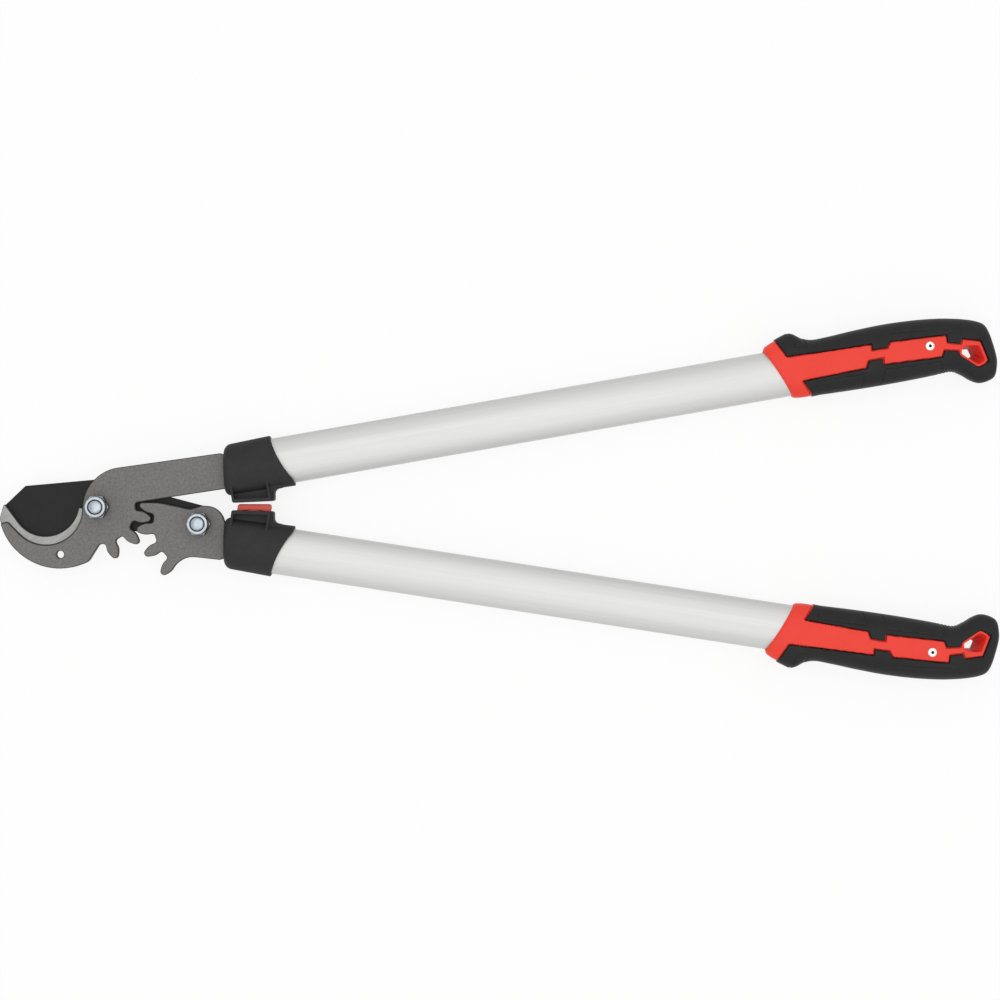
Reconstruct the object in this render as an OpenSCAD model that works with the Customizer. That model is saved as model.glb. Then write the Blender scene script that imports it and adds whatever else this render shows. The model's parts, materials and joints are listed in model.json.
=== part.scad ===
// Geared bypass lopper, lying flat with its two pivot nuts up.
// Lengths are in millimetres and angles in degrees.
// The origin is where the main pivot's axis meets the surface the lopper lies on.

/* [Head] */
// Thickness of the hook plate and of the gear arm
plate_t = 5; // [4.4:0.1:6]
// Thickness of the cutting blade
blade_t = 4; // [3:0.1:5]
// Reach of the hook from the main pivot to its tip
jaw_reach = 73; // [70:0.5:76]
// Depth of the bright bevel milled along the hook's inner edge
bevel_depth = 1.6; // [0.8:0.1:2.4]
// Diameter of the hole through the hook
hook_hole_d = 5.6; // [4:0.1:7]
// Width of the bevel ground along the blade's cutting edge
grind_w = 9; // [6:0.5:11]
// Thickness left at the blade's cutting edge
edge_t = 0.6; // [0.3:0.1:1.2]
// Radius of the blade's eye around the gear pivot
blade_eye_r = 13.6; // [12.5:0.1:14]

/* [Gear teeth] */
// Distance between the main pivot and the gear pivot
pivot_span = 77; // [75:0.25:79]
// Angle between neighbouring teeth of the hook plate
hook_pitch_angle = 28.8; // [28:0.1:29.6]
// Angle between neighbouring teeth of the gear arm
arm_pitch_angle = 24; // [23.4:0.1:24.6]
// Thickness of a hook plate tooth at its pitch circle
hook_tooth_t = 8.3; // [7.6:0.1:8.5]
// Thickness of a gear arm tooth at its pitch circle
arm_tooth_t = 7.9; // [7.2:0.1:8.2]
// Height of a hook plate tooth outside its pitch circle
hook_addendum = 5.6; // [4.2:0.1:6]
// Height of a gear arm tooth outside its pitch circle
arm_addendum = 5; // [4.2:0.1:5.4]
// Clearance between a tooth tip and the facing root
tip_clearance = 2; // [1:0.1:2.6]
// Radius that rounds the tooth tips
tooth_tip_r = 2.2; // [0.8:0.1:2.4]
// Radius of the fillets in the tooth roots
tooth_root_r = 2.4; // [1:0.1:2.6]

/* [Pivots] */
// Diameter of the two pivot bolts
bolt_d = 10; // [8:0.5:11]
// Width across flats of the nuts and bolt heads
nut_af = 16; // [15:0.5:18]
// Height of a lock nut with its collar
nut_h = 11; // [9:0.5:13]
// Height of a bolt head
head_h = 6.4; // [5:0.2:8]
// Diameter of a pivot washer
washer_d = 21; // [19:0.5:22]
// Thickness of a pivot washer
washer_t = 1.6; // [1:0.1:2.5]
// Running gap between faces that slide past each other
run_gap = 0.15; // [0.1:0.01:0.3]

/* [Handles] */
// Width of the oval handle tubes
tube_w = 35.6; // [33:0.2:38]
// Depth of the oval handle tubes
tube_h = 22; // [20:0.2:24]
// Wall thickness of the handle tubes
tube_wall = 1.5; // [1.2:0.1:2]
// Length of a handle from its root to the grip's end
handle_reach = 584; // [420:2:640]
// Place of the upper handle's root along the head
upper_root_x = 95; // [94:0.5:100]
// Height of the upper handle's root over the main pivot
upper_root_y = 27.25; // [26.5:0.25:29]
// Angle by which the upper handle splays
upper_splay = 9.9; // [9.5:0.1:11.5]
// Place of the lower handle's root past the gear pivot
lower_root_x = 19; // [18:0.25:22]
// Drop of the lower handle's root below the gear pivot
lower_root_y = 13.9; // [13.5:0.1:15]
// Angle by which the lower handle splays
lower_splay = 8.7; // [8.4:0.1:10]
// Thickness of the filler beside a tang
filler_wall = 2.8; // [2:0.1:4]
// Length of the tangs inside the handles
tang_len = 64; // [56:1:80]

/* [Ferrules] */
// Wall thickness of the ferrules over the tubes
ferrule_wall = 2.2; // [2:0.1:3]
// Length of a ferrule along the handle's middle
ferrule_len = 43; // [42:0.5:50]
// Radius that rounds a ferrule's front end
ferrule_round = 5.5; // [3:0.5:6]
// Depth of the stop bracket under a ferrule
bracket_depth = 19.5; // [15:0.5:21]
// Space between the two stop brackets, measured at the handles' roots
stop_space = 4; // [3.5:0.1:5]
// Gap between the bumper and the facing bracket at its front
bumper_gap = 1.1; // [1:0.05:2]
// Gap between the bumper and the facing bracket at its back
bumper_back_gap = 2.3; // [1.6:0.05:3]

/* [Grips] */
// Length of a grip along its outer side
grip_len = 172; // [150:1:190]
// Thickness of the grip between the tube's edge and its own edge
grip_wall = 3; // [2.8:0.1:4]
// Thickness of the grip between the tube's flat and its own face
grip_face = 3.6; // [3.4:0.1:4.5]
// Thickness of the soft overmould
over_t = 2; // [1.6:0.1:2.1]
// Depth of the red face below the overmould
face_drop = 0.6; // [0.4:0.1:0.9]
// Diameter of the head of the grip's blind rivet
rivet_head_d = 7; // [6:0.2:8]

/* [Hidden] */
$fn = 72;

// Clearances and the overrun of every cut
pin_gap = 0.05;
fit_gap = 0.1;
overrun = 1;

// Colours
coat_grey = [0.45, 0.44, 0.43];
blade_black = [0.12, 0.12, 0.13];
zinc = [0.78, 0.8, 0.83];
nylon_blue = [0.13, 0.17, 0.3];
aluminium = [0.86, 0.86, 0.87];
plastic_black = [0.19, 0.19, 0.2];
grip_red = [0.84, 0.12, 0.09];
rubber_red = [0.66, 0.16, 0.12];
filler_grey = [0.55, 0.55, 0.56];
steel = [0.62, 0.62, 0.63];

// Heights of the stacked pieces
blade_z = head_h + washer_t + run_gap;
plate_z = blade_z + blade_t + run_gap;
mid_z = plate_z + plate_t / 2;
nut_z = plate_z + plate_t;

// Gear pivot, seen from the main pivot at rest
centre_angle = -9.41;
gear_pivot = pivot_span * [cos(centre_angle), sin(centre_angle)];

// Gear circles, with the tooth of the hook that is in mesh a little past the line of centres
hook_pitch_r = pivot_span * arm_pitch_angle / (arm_pitch_angle + hook_pitch_angle);
arm_pitch_r = pivot_span - hook_pitch_r;
hook_tip_r = hook_pitch_r + hook_addendum;
arm_tip_r = arm_pitch_r + arm_addendum;
hook_root_r = pivot_span - arm_tip_r - tip_clearance;
arm_root_r = pivot_span - hook_tip_r - tip_clearance;
pressure_angle = 20;
mesh_lag_angle = 3.5;
hook_first_angle = centre_angle - mesh_lag_angle;
arm_gap_angle = 180 + centre_angle + mesh_lag_angle * hook_pitch_r / arm_pitch_r;
hook_tooth_count = 3;
arm_tooth_count = 4;
flank_steps = 8;
arc_step_angle = 5;
fillet_fn = 24;
crown_steps = 10;

// Corners of the hook as [x, y, radius], in shares of its reach
hook_outer_shares = [[-0.967, 0.04, 0.012], [-1.013, -0.116, 0.1], [-0.939, -0.428, 0.62],
    [-0.427, -0.689, 0.62], [-0.096, -0.562, 0.11], [0.03, -0.36, 0]];
hook_inner_shares = [[-0.146, 0.356, 0.42], [-0.155, -0.006, 0], [-0.201, -0.006, 0.012],
    [-0.24, -0.234, 0.342], [-0.682, -0.345, 0.342]];
heel_notch_shares = [[-0.155, -0.006], [-0.155, 0.06], [-0.22, 0.06], [-0.22, -0.006]];
arm_heel_shares = [0.375, 0.046, 0];
bevel_centre_shares = [-0.534, -0.014];
bevel_r_share = 0.378;
bevel_tip_shares = [[-0.806, -0.28, 0], [-0.927, -0.153, 0.03], [-1.1, -0.205, 0], [-1.1, 0.2, 0],
    [-0.532, 0.2, 0]];
hook_hole_shares = [-0.386, -0.486];
hook_sector_from_angle = 8;
hook_sector_to_angle = -98;

// Corners of the blade as [x, y, radius], in shares of the hook's reach and of the blade's eye
blade_front_shares = [[0.03, 0.289, 0.08], [-0.759, 0.218, 0.012], [-0.973, 0.014, 0.006],
    [-0.874, -0.245, 0.405], [-0.607, -0.389, 0.405], [-0.284, -0.315, 0.405],
    [-0.171, -0.12, 0.03], [-0.055, -0.178, 0.08]];
blade_eye_shares = [[0.78, -1.145, 0.99], [1.18, 0.725, 0.99]];
edge_centre_shares = [-0.548, 0.041];
edge_r_share = 0.407;
grind_from_angle = 190;
grind_sweep_angle = 142;

// Corners of the gear arm as [x, y, radius], in shares of the gear arm's tip circle
arm_top_shares = [[-0.8, 0.339, 0], [-0.643, 0.339, 1], [-0.145, 0.23, 0.1], [0.05, 0.29, 0.08],
    [0.345, 0.277, 0.305]];
arm_low_shares = [[-0.26, -0.51, 0.36], [-0.452, -0.752, 0], [-0.5, -0.5, 0], [-0.6, 0.2, 0]];
arm_trim_share = 0.339;
arm_neck_share = -0.06;

// Pivot hardware
hex_chamfer = 0.7;
nut_collar_h = 4.4;
nut_collar_d = nut_af - hex_chamfer / 2;
nut_collar_round = 0.8;
ring_t = 0.7;
ring_drop = 0.4;
bolt_crown = 1.2;
bolt_stand = 0.6;
pivot_bore_d = bolt_d + 2 * pin_gap;

// Handle fits
oval_sides = 64;
oval_power = 2.1;
tube_from = 4.5;
tang_w = tube_w - 2 * (tube_wall + filler_wall);
tang_lead = 3;
tang_round = 3;
tang_shoulder = 1.5;
tang_top = tang_w / 2 - tang_shoulder;
shoulder_from = -1.1;
shoulder_to = 1.7;
shoulder_round = 1;
tube_end_drop = 40;
insert_len = tang_len - tube_from;
pin_d = 6;
pin_shares = [0.3, 0.62];

// Ferrule shape, with the slopes of its two end faces and the flare towards its rear
ferrule_front = -0.3;
ferrule_flare = 0.9;
front_slope = 0.14;
rear_slope = -0.363;
rear_round = 0.8;
ferrule_sides = 48;
socket_w = tube_w + 2 * fit_gap;
socket_h = tube_h + 2 * fit_gap;
ferrule_w = socket_w + 2 * ferrule_wall;
ferrule_h = socket_h + 2 * ferrule_wall;

// Stop bracket under the ferrule, with its foot sunk in the ferrule's own wall
bracket_from = 2.4;
bracket_len = 32;
bracket_slope = 0.127;
bracket_wall = 2;
bracket_back_wall = 5;
bracket_round = 1.2;
bracket_fillet = 4;
bracket_web = 6;
bracket_web_depth = 9;
bracket_foot_share = 0.55;
bracket_foot = bracket_foot_share * ferrule_w / 2;
bracket_face = (upper_root_y + lower_root_y - gear_pivot.y - stop_space) / 2;
pocket_round = 1;

// Bumper: pad on the bracket's face, held by a tongue through it
bumper_inset = 3.6;
bumper_len = 24.2;
bumper_depth = 13;
bumper_round = 2.2;
bumper_shoulder = 3.5;
tongue_reach = 3.2;

// Grip shape
grip_from = handle_reach - grip_len;
grip_half = tube_w / 2 + grip_wall;
grip_depth = tube_h / 2 + grip_face;
grip_sides = 28;
grip_power = 2.4;
grip_seam = 0.05;
collar_rings = 2;
tube_to = handle_reach - tube_end_drop;
rivet_shank_d = 4;
rivet_head_h = 1.2;
rivet_reach = 6;
rivet_mandrel_d = 2.4;
rivet_mandrel_h = 0.7;
rivet_seat_gap = 0.3;
rivet_place_shares = [0.708, 0.034];
hole_round_share = 0.007;

// Each ring of a grip: its outer edge and its inner edge in shares of the grip's length and half
// width, then its half depth as a share
grip_ring_shares = [
    [0.002, 0.966, 0.099, -0.928, 0.905],
    [0.014, 1.096, 0.108, -0.99, 0.945],
    [0.052, 1.23, 0.148, -1.024, 0.958],
    [0.098, 1.36, 0.19, -1.012, 0.96],
    [0.119, 1.394, 0.215, -1.004, 0.962],
    [0.142, 1.335, 0.242, -1.01, 0.964],
    [0.174, 1.145, 0.275, -1.018, 0.966],
    [0.22, 1.022, 0.315, -1.028, 0.97],
    [0.29, 1.03, 0.367, -1.038, 0.98],
    [0.407, 1.09, 0.455, -1.048, 1],
    [0.535, 1.124, 0.558, -1.048, 1],
    [0.66, 1.09, 0.66, -1.034, 1],
    [0.767, 1.005, 0.744, -1.01, 0.98],
    [0.843, 0.895, 0.797, -1.005, 0.938],
    [0.895, 0.79, 0.837, -1.18, 0.9],
    [0.936, 0.675, 0.872, -1.42, 0.862],
    [0.968, 0.52, 0.907, -1.567, 0.79],
    [0.984, 0.265, 0.948, -1.553, 0.69],
    [0.993, -0.145, 0.98, -1.418, 0.55],
    [0.999, -0.577, 0.996, -1.058, 0.345],
    [1, -0.7, 1, -0.86, 0.14]];

// Red face of a grip as shares of the grip's length and half width
red_face_shares = [[-0.06, 1.6], [0.034, 1.6], [0.0555, 1.19], [0.0889, 0.51], [0.458, 0.436],
    [0.455, 0.212], [0.527, 0.202], [0.544, 0.404], [0.784, 0.303], [0.783, 0.067],
    [0.84, -0.082], [0.851, 0.058], [0.93, -0.11], [0.952, -0.837], [0.907, -0.971],
    [0.826, -0.423], [0.823, -0.322], [0.766, -0.207], [0.752, -0.409], [0.502, -0.317],
    [0.506, -0.082], [0.435, -0.082], [0.42, -0.337], [0.147, -0.399], [0.14, -0.437],
    [0.174, -1.01], [0.2, -1.45], [-0.06, -1.45]];

// Hanging hole of a grip as shares of the grip's length and half width
hang_hole_shares = [[0.86, -0.168], [0.921, -0.24], [0.938, -0.817], [0.905, -0.904],
    [0.84, -0.433], [0.844, -0.288]];

// Corner points of a round arc about the origin
function arc_points(r, from, to) = let (steps = ceil(abs(to - from) / arc_step_angle))
    [for (i = [0 : steps]) let (a = from + (to - from) * i / steps) r * [cos(a), sin(a)]];

// Points of one outline corner b, rounded between its neighbours a and c
function corner_points(a, b, c) =
    let (
        back = [a.x - b.x, a.y - b.y],
        ahead = [c.x - b.x, c.y - b.y],
        p = back / norm(back),
        q = ahead / norm(ahead),
        half = acos(p * q) / 2,
        centre = [b.x, b.y] + (p + q) / norm(p + q) * b.z / sin(half),
        start = [b.x, b.y] + p * b.z / tan(half) - centre,
        turn = sign(p.x * q.y - p.y * q.x) * (2 * half - 180),
        first = atan2(start.y, start.x),
        steps = ceil(abs(turn) / arc_step_angle))
    b.z == 0 ? [[b.x, b.y]] : [for (i = [0 : steps])
        let (a = first + turn * i / steps) centre + b.z * [cos(a), sin(a)]];

// Closed outline whose corners [x, y, radius] are rounded
function rounded(corners) = let (n = len(corners)) [for (i = [0 : n - 1])
    each corner_points(corners[(i + n - 1) % n], corners[i], corners[(i + 1) % n])];

// A place with the radius that rounds it
function corner(p, r) = [p.x, p.y, r];

// Corners given as shares, scaled and moved
function scaled(shares, size, at = [0, 0]) = [for (s = shares)
    [at.x + s.x * size, at.y + s.y * size, s.z * size]];

// Points along an oval of the given width and depth
function oval(w, h, sides, power) = [for (i = [0 : sides - 1])
    let (c = cos(360 * i / sides), s = sin(360 * i / sides))
    [w / 2 * sign(c) * pow(abs(c), 2 / power), h / 2 * sign(s) * pow(abs(s), 2 / power)]];

// Half depth of an oval at a place across its width
function oval_height(w, h, power, at) = h / 2 * pow(1 - pow(abs(at) / (w / 2), power), 1 / power);

// A place in a handle's own frame, carried into the head's frame
function in_upper(p) = [upper_root_x + p.x * cos(upper_splay) - p.y * sin(upper_splay),
    upper_root_y + p.x * sin(upper_splay) + p.y * cos(upper_splay)];
function in_lower(p) = [
    gear_pivot.x + lower_root_x + p.x * cos(lower_splay) - p.y * sin(lower_splay),
    gear_pivot.y - lower_root_y - p.x * sin(lower_splay) - p.y * cos(lower_splay)];

// A place in the head's frame, carried into the lower handle's own frame
function from_head_to_lower(p) = let (
    dx = p.x - gear_pivot.x - lower_root_x,
    dy = gear_pivot.y - lower_root_y - p.y)
    [dx * cos(lower_splay) + dy * sin(lower_splay), dy * cos(lower_splay) - dx * sin(lower_splay)];

// Involute of an angle, in degrees
function involute(a) = tan(a) * 180 / PI - a;

// Half the angle that a tooth fills at a radius
function tooth_half(r, pitch_r, t) = let (base_r = pitch_r * cos(pressure_angle))
    t / 2 / pitch_r * 180 / PI + involute(pressure_angle)
    - (r > base_r ? involute(acos(base_r / r)) : 0);

// Outline of one involute tooth that points along +X from its gear's centre
function tooth_points(root_r, tip_r, pitch_r, t) = let (
    radii = [for (i = [0 : flank_steps]) root_r - tooth_root_r
        + (tip_r - root_r + tooth_root_r) * i / flank_steps])
    concat([for (r = radii) let (a = -tooth_half(r, pitch_r, t)) r * [cos(a), sin(a)]],
        [for (i = [flank_steps : -1 : 0]) let (r = radii[i], a = tooth_half(r, pitch_r, t))
            r * [cos(a), sin(a)]]);

// Solid between equal rings of points, closed by flat ends
module skin(rings) {
    sides = len(rings[0]);
    last = len(rings) - 1;
    faces = [for (i = [0 : last - 1], j = [0 : sides - 1])
        let (a = i * sides + j, b = i * sides + (j + 1) % sides)
        each [[a, a + sides, b], [b, a + sides, b + sides]]];
    front = [for (j = [0 : sides - 1]) j];
    back = [for (j = [sides - 1 : -1 : 0]) last * sides + j];
    polyhedron(points = [for (ring = rings) each ring], faces = concat(faces, [front, back]));
}

// Flat outline raised along X, drawn across Y and Z
module along(from, to) {
    translate([from, 0, 0])
        rotate([90, 0, 90])
            linear_extrude(to - from)
                children();
}

// Frames of the two handles, the lower one mirrored
module upper_side() {
    translate([upper_root_x, upper_root_y, mid_z])
        rotate(upper_splay)
            children();
}

module lower_side() {
    translate([gear_pivot.x + lower_root_x, gear_pivot.y - lower_root_y, mid_z])
        rotate(-lower_splay)
            mirror([0, 1, 0])
                children();
}

module at_gear_pivot() {
    translate([gear_pivot.x, gear_pivot.y, 0])
        children();
}

// Teeth on a sector of a gear, less what is trimmed off, with rounded tips
module gear_teeth(count, first, step, root_r, tip_r, pitch_r, t) {
    offset(r = tooth_tip_r, $fn = fillet_fn)
        offset(delta = -tooth_tip_r)
            difference() {
                for (i = [0 : count - 1])
                    rotate(first + step * i)
                        polygon(tooth_points(root_r, tip_r, pitch_r, t));
                children();
            }
}

module tang_holes() {
    for (s = pin_shares)
        translate([tang_len * s, 0, 0])
            cylinder(d = pin_d, h = tube_h, center = true);
}

// Outline of the hook plate, with the corner behind the jaw's heel left open
module hook_shape() {
    difference() {
        offset(r = -tooth_root_r, $fn = fillet_fn)
            offset(delta = tooth_root_r)
                union() {
                    polygon(rounded(concat(scaled(hook_outer_shares, jaw_reach),
                        scaled([arm_heel_shares], jaw_reach),
                        [corner(in_upper([tang_lead, -tang_w / 2]), 0),
                        corner(in_upper([tang_len, -tang_w / 2]), tang_round),
                        corner(in_upper([tang_len, tang_top]), tang_round),
                        corner(in_upper([shoulder_to, tang_top]), 0),
                        corner(in_upper([shoulder_from, tang_w / 2]), shoulder_round)],
                        scaled(hook_inner_shares, jaw_reach))));
                    polygon(concat([[0, 0]],
                        arc_points(hook_root_r, hook_sector_from_angle, hook_sector_to_angle)));
                    gear_teeth(hook_tooth_count, hook_first_angle, -hook_pitch_angle,
                        hook_root_r, hook_tip_r, hook_pitch_r, hook_tooth_t);
                }
        polygon(heel_notch_shares * jaw_reach);
    }
}

// Ground that the bright bevel takes from the hook's face
module bevel_shape() {
    translate(bevel_centre_shares * jaw_reach)
        circle(r = bevel_r_share * jaw_reach);
    polygon(rounded(scaled(bevel_tip_shares, jaw_reach)));
}

// Hook plate: fixed jaw, gear sector and the upper handle's tang
module hook_arm() {
    color(coat_grey)
        difference() {
            translate([0, 0, plate_z])
                linear_extrude(plate_t)
                    hook_shape();
            translate([0, 0, nut_z - bevel_depth])
                linear_extrude(bevel_depth + overrun)
                    bevel_shape();
            translate([0, 0, plate_z - overrun])
                cylinder(d = pivot_bore_d, h = plate_t + 2 * overrun);
            translate([hook_hole_shares.x * jaw_reach, hook_hole_shares.y * jaw_reach,
                plate_z - overrun])
                cylinder(d = hook_hole_d, h = plate_t + 2 * overrun);
            upper_side()
                tang_holes();
        }
}

module blade_shape() {
    polygon(rounded(concat(scaled(blade_front_shares, jaw_reach),
        scaled(blade_eye_shares, blade_eye_r, gear_pivot))));
}

// Cutting blade behind the hook, ground on its far side
module cutting_blade() {
    edge_r = edge_r_share * jaw_reach;
    slope = (blade_t - edge_t) / grind_w;
    color(blade_black)
        difference() {
            translate([0, 0, blade_z])
                linear_extrude(blade_t)
                    blade_shape();
            translate([edge_centre_shares.x * jaw_reach, edge_centre_shares.y * jaw_reach, blade_z])
                rotate(grind_from_angle)
                    rotate_extrude(angle = grind_sweep_angle)
                        polygon([[edge_r - grind_w - overrun, -overrun * slope],
                            [edge_r - grind_w - overrun, -overrun - overrun * slope],
                            [edge_r + overrun, -overrun - overrun * slope],
                            [edge_r + overrun, (grind_w + overrun) * slope]]);
            translate([0, 0, blade_z - overrun])
                cylinder(d = pivot_bore_d, h = blade_t + 2 * overrun);
            at_gear_pivot()
                translate([0, 0, blade_z - overrun])
                    cylinder(d = pivot_bore_d, h = blade_t + 2 * overrun);
        }
}

module arm_shape() {
    neck = arm_neck_share * tang_w;
    offset(r = -tooth_root_r, $fn = fillet_fn)
        offset(delta = tooth_root_r)
            union() {
                polygon(rounded(concat(scaled(arm_top_shares, arm_tip_r, gear_pivot),
                    [corner(in_lower([neck, -tang_w / 2]), 0),
                    corner(in_lower([tang_len, -tang_w / 2]), tang_round),
                    corner(in_lower([tang_len, tang_top]), tang_round),
                    corner(in_lower([shoulder_to, tang_top]), 0),
                    corner(in_lower([neck, tang_w / 2]), shoulder_round)],
                    scaled(arm_low_shares, arm_tip_r, gear_pivot))));
                translate(gear_pivot) {
                    polygon(concat([[0, 0]], arc_points(arm_root_r,
                        arm_gap_angle - arm_pitch_angle / 2,
                        arm_gap_angle + arm_pitch_angle * (arm_tooth_count - 3 / 2))));
                    gear_teeth(arm_tooth_count, arm_gap_angle - arm_pitch_angle / 2,
                        arm_pitch_angle, arm_root_r, arm_tip_r, arm_pitch_r, arm_tooth_t)
                        translate([-2 * arm_tip_r, arm_trim_share * arm_tip_r])
                            square(2 * arm_tip_r);
                }
            }
}

// Gear arm: toothed plate with the lower handle's tang
module gear_arm() {
    color(coat_grey)
        difference() {
            translate([0, 0, plate_z])
                linear_extrude(plate_t)
                    arm_shape();
            at_gear_pivot()
                translate([0, 0, plate_z - overrun])
                    cylinder(d = pivot_bore_d, h = plate_t + 2 * overrun);
            lower_side()
                tang_holes();
        }
}

// Hexagon with its corners turned off at one end or both
module hexagon(h, low_chamfer, high_chamfer) {
    corner_r = nut_af / 2 / cos(30);
    intersection() {
        cylinder(r = corner_r, h = h, $fn = 6);
        rotate_extrude()
            polygon([[0, 0], [corner_r - low_chamfer * 2, 0], [corner_r, low_chamfer],
                [corner_r, h - high_chamfer], [corner_r - high_chamfer * 2, h], [0, h]]);
    }
}

// Pivot bolt with its head on the far side
module pivot_bolt() {
    top = nut_z + nut_h + bolt_stand;
    union() {
        hexagon(head_h, hex_chamfer, 0);
        rotate_extrude()
            polygon([[0, head_h / 2], [bolt_d / 2, head_h / 2], [bolt_d / 2, top - bolt_crown],
                for (i = [1 : crown_steps]) let (a = 90 * i / crown_steps)
                    [bolt_d / 2 * cos(a), top - bolt_crown + bolt_crown * sin(a)]]);
    }
}

module pivot_washer() {
    translate([0, 0, head_h])
        difference() {
            cylinder(d = washer_d, h = washer_t);
            translate([0, 0, -overrun])
                cylinder(d = pivot_bore_d, h = washer_t + 2 * overrun);
        }
}

// Lock nut: hexagon below, round collar above that holds the nylon ring
module pivot_nut() {
    hex_h = nut_h - nut_collar_h;
    ring_r = bolt_d / 2 + ring_t;
    translate([0, 0, nut_z])
        difference() {
            union() {
                hexagon(hex_h, 0, hex_chamfer);
                rotate_extrude()
                    polygon(concat([[0, hex_h / 2], [nut_collar_d / 2, hex_h / 2]],
                        [for (i = [0 : crown_steps]) let (a = 90 * i / crown_steps)
                            [nut_collar_d / 2 - nut_collar_round * (1 - cos(a)),
                                nut_h - nut_collar_round * (1 - sin(a))]],
                        [[0, nut_h]]));
            }
            translate([0, 0, -overrun])
                cylinder(d = pivot_bore_d, h = nut_h + 2 * overrun);
            translate([0, 0, hex_h])
                cylinder(r = ring_r, h = nut_collar_h + overrun);
        }
}

module pivot_nut_ring() {
    hex_h = nut_h - nut_collar_h;
    translate([0, 0, nut_z + hex_h])
        difference() {
            cylinder(r = bolt_d / 2 + ring_t - pin_gap, h = nut_collar_h - ring_drop);
            translate([0, 0, -overrun])
                cylinder(d = pivot_bore_d, h = nut_collar_h + 2 * overrun);
        }
}

module main_bolt() {
    color(zinc)
        pivot_bolt();
}

module main_washer() {
    color(zinc)
        pivot_washer();
}

module main_nut() {
    color(zinc)
        pivot_nut();
}

module main_nut_ring() {
    color(nylon_blue)
        pivot_nut_ring();
}

module gear_bolt() {
    color(zinc)
        at_gear_pivot()
            pivot_bolt();
}

module gear_washer() {
    color(zinc)
        at_gear_pivot()
            pivot_washer();
}

module gear_nut() {
    color(zinc)
        at_gear_pivot()
            pivot_nut();
}

module gear_nut_ring() {
    color(nylon_blue)
        at_gear_pivot()
            pivot_nut_ring();
}

// Oval handle tube with the holes of its tang pins and of its grip rivet
module tube() {
    rivet_u = grip_from + rivet_place_shares.x * grip_len;
    rivet_v = rivet_place_shares.y * grip_half;
    difference() {
        along(tube_from, tube_to)
            polygon(oval(tube_w, tube_h, oval_sides, oval_power));
        along(tube_from - overrun, tube_to + overrun)
            polygon(oval(tube_w - 2 * tube_wall, tube_h - 2 * tube_wall, oval_sides, oval_power));
        tang_holes();
        translate([rivet_u, rivet_v, 0])
            cylinder(d = rivet_shank_d + 2 * fit_gap, h = tube_h);
    }
}

module upper_tube() {
    color(aluminium)
        upper_side()
            tube();
}

module lower_tube() {
    color(aluminium)
        lower_side()
            tube();
}

// Filler that locks a tang inside its tube
module tang_insert() {
    trim = 2 * (tube_wall + fit_gap);
    difference() {
        along(tube_from, tube_from + insert_len)
            polygon(oval(tube_w - trim, tube_h - trim, oval_sides, oval_power));
        translate([-tang_lead, -tang_w / 2 - fit_gap, -plate_t / 2 - fit_gap])
            cube([tang_lead + tang_len + overrun, tang_w - tang_shoulder + 2 * fit_gap,
                plate_t + 2 * fit_gap]);
        tang_holes();
    }
}

module upper_tang_insert() {
    color(filler_grey)
        upper_side()
            tang_insert();
}

module lower_tang_insert() {
    color(filler_grey)
        lower_side()
            tang_insert();
}

// Pins through tube, filler and tang, flush under the ferrule
module tang_pins() {
    for (s = pin_shares)
        translate([tang_len * s, 0, 0])
            cylinder(d = pin_d - 2 * pin_gap, h = tube_h - 2 * fit_gap, center = true);
}

module upper_tang_pins() {
    color(steel)
        upper_side()
            tang_pins();
}

module lower_tang_pins() {
    color(steel)
        lower_side()
            tang_pins();
}

// One ring of a ferrule's skin: an oval drawn in by a rounding, in a sloped plane
function ferrule_ring(at, slope, drawn) = [for (p = oval(ferrule_w - 2 * drawn,
    ferrule_h - 2 * drawn, ferrule_sides, oval_power)) [at + slope * p.x, p.x, p.y]];

function ferrule_rings() = concat(
    [for (i = [0 : 4]) let (a = 90 * i / 4)
        ferrule_ring(ferrule_front + ferrule_round * (1 - cos(a)), front_slope,
            ferrule_flare + ferrule_round * (1 - sin(a)))],
    [for (a = [0, 45, 90])
        ferrule_ring(ferrule_front + ferrule_len - rear_round * (1 - sin(a)), rear_slope,
            rear_round * (1 - cos(a)))]);

// Face of the stop bracket at a place along the handle
function bracket_edge(u) = -bracket_face - bracket_slope * (u - bracket_from);

// Stop bracket: a block with a pocket, and a shallower web behind it
module bracket() {
    to = bracket_from + bracket_len;
    tip = to - bracket_back_wall / 2;
    inner_from = bracket_from + bracket_wall;
    inner_to = to - bracket_back_wall;
    difference() {
        union() {
            translate([0, 0, -bracket_depth / 2])
                linear_extrude(bracket_depth)
                    polygon(rounded([[bracket_from, -bracket_foot, 0],
                        [bracket_from, bracket_edge(bracket_from), bracket_round],
                        [tip, bracket_edge(tip), bracket_round],
                        [to, -ferrule_w / 2, 0],
                        [to, -bracket_foot, 0]]));
            translate([0, 0, -bracket_web_depth / 2])
                linear_extrude(bracket_web_depth)
                    polygon(rounded([[inner_to, -bracket_foot, 0],
                        [tip - bracket_wall, bracket_edge(tip) + bracket_wall, 0],
                        [to, -ferrule_w / 2, bracket_fillet],
                        [to + bracket_web, -ferrule_w / 2, 0],
                        [to + bracket_web, -bracket_foot, 0]]));
        }
        translate([0, 0, bracket_wall - bracket_depth / 2])
            linear_extrude(bracket_depth)
                polygon(rounded([[inner_from, overrun - bracket_foot, 0],
                    [inner_from, bracket_edge(inner_from) + bracket_wall, pocket_round],
                    [inner_to, bracket_edge(inner_to) + bracket_wall, pocket_round],
                    [inner_to, overrun - bracket_foot, 0]]));
    }
}

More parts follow.
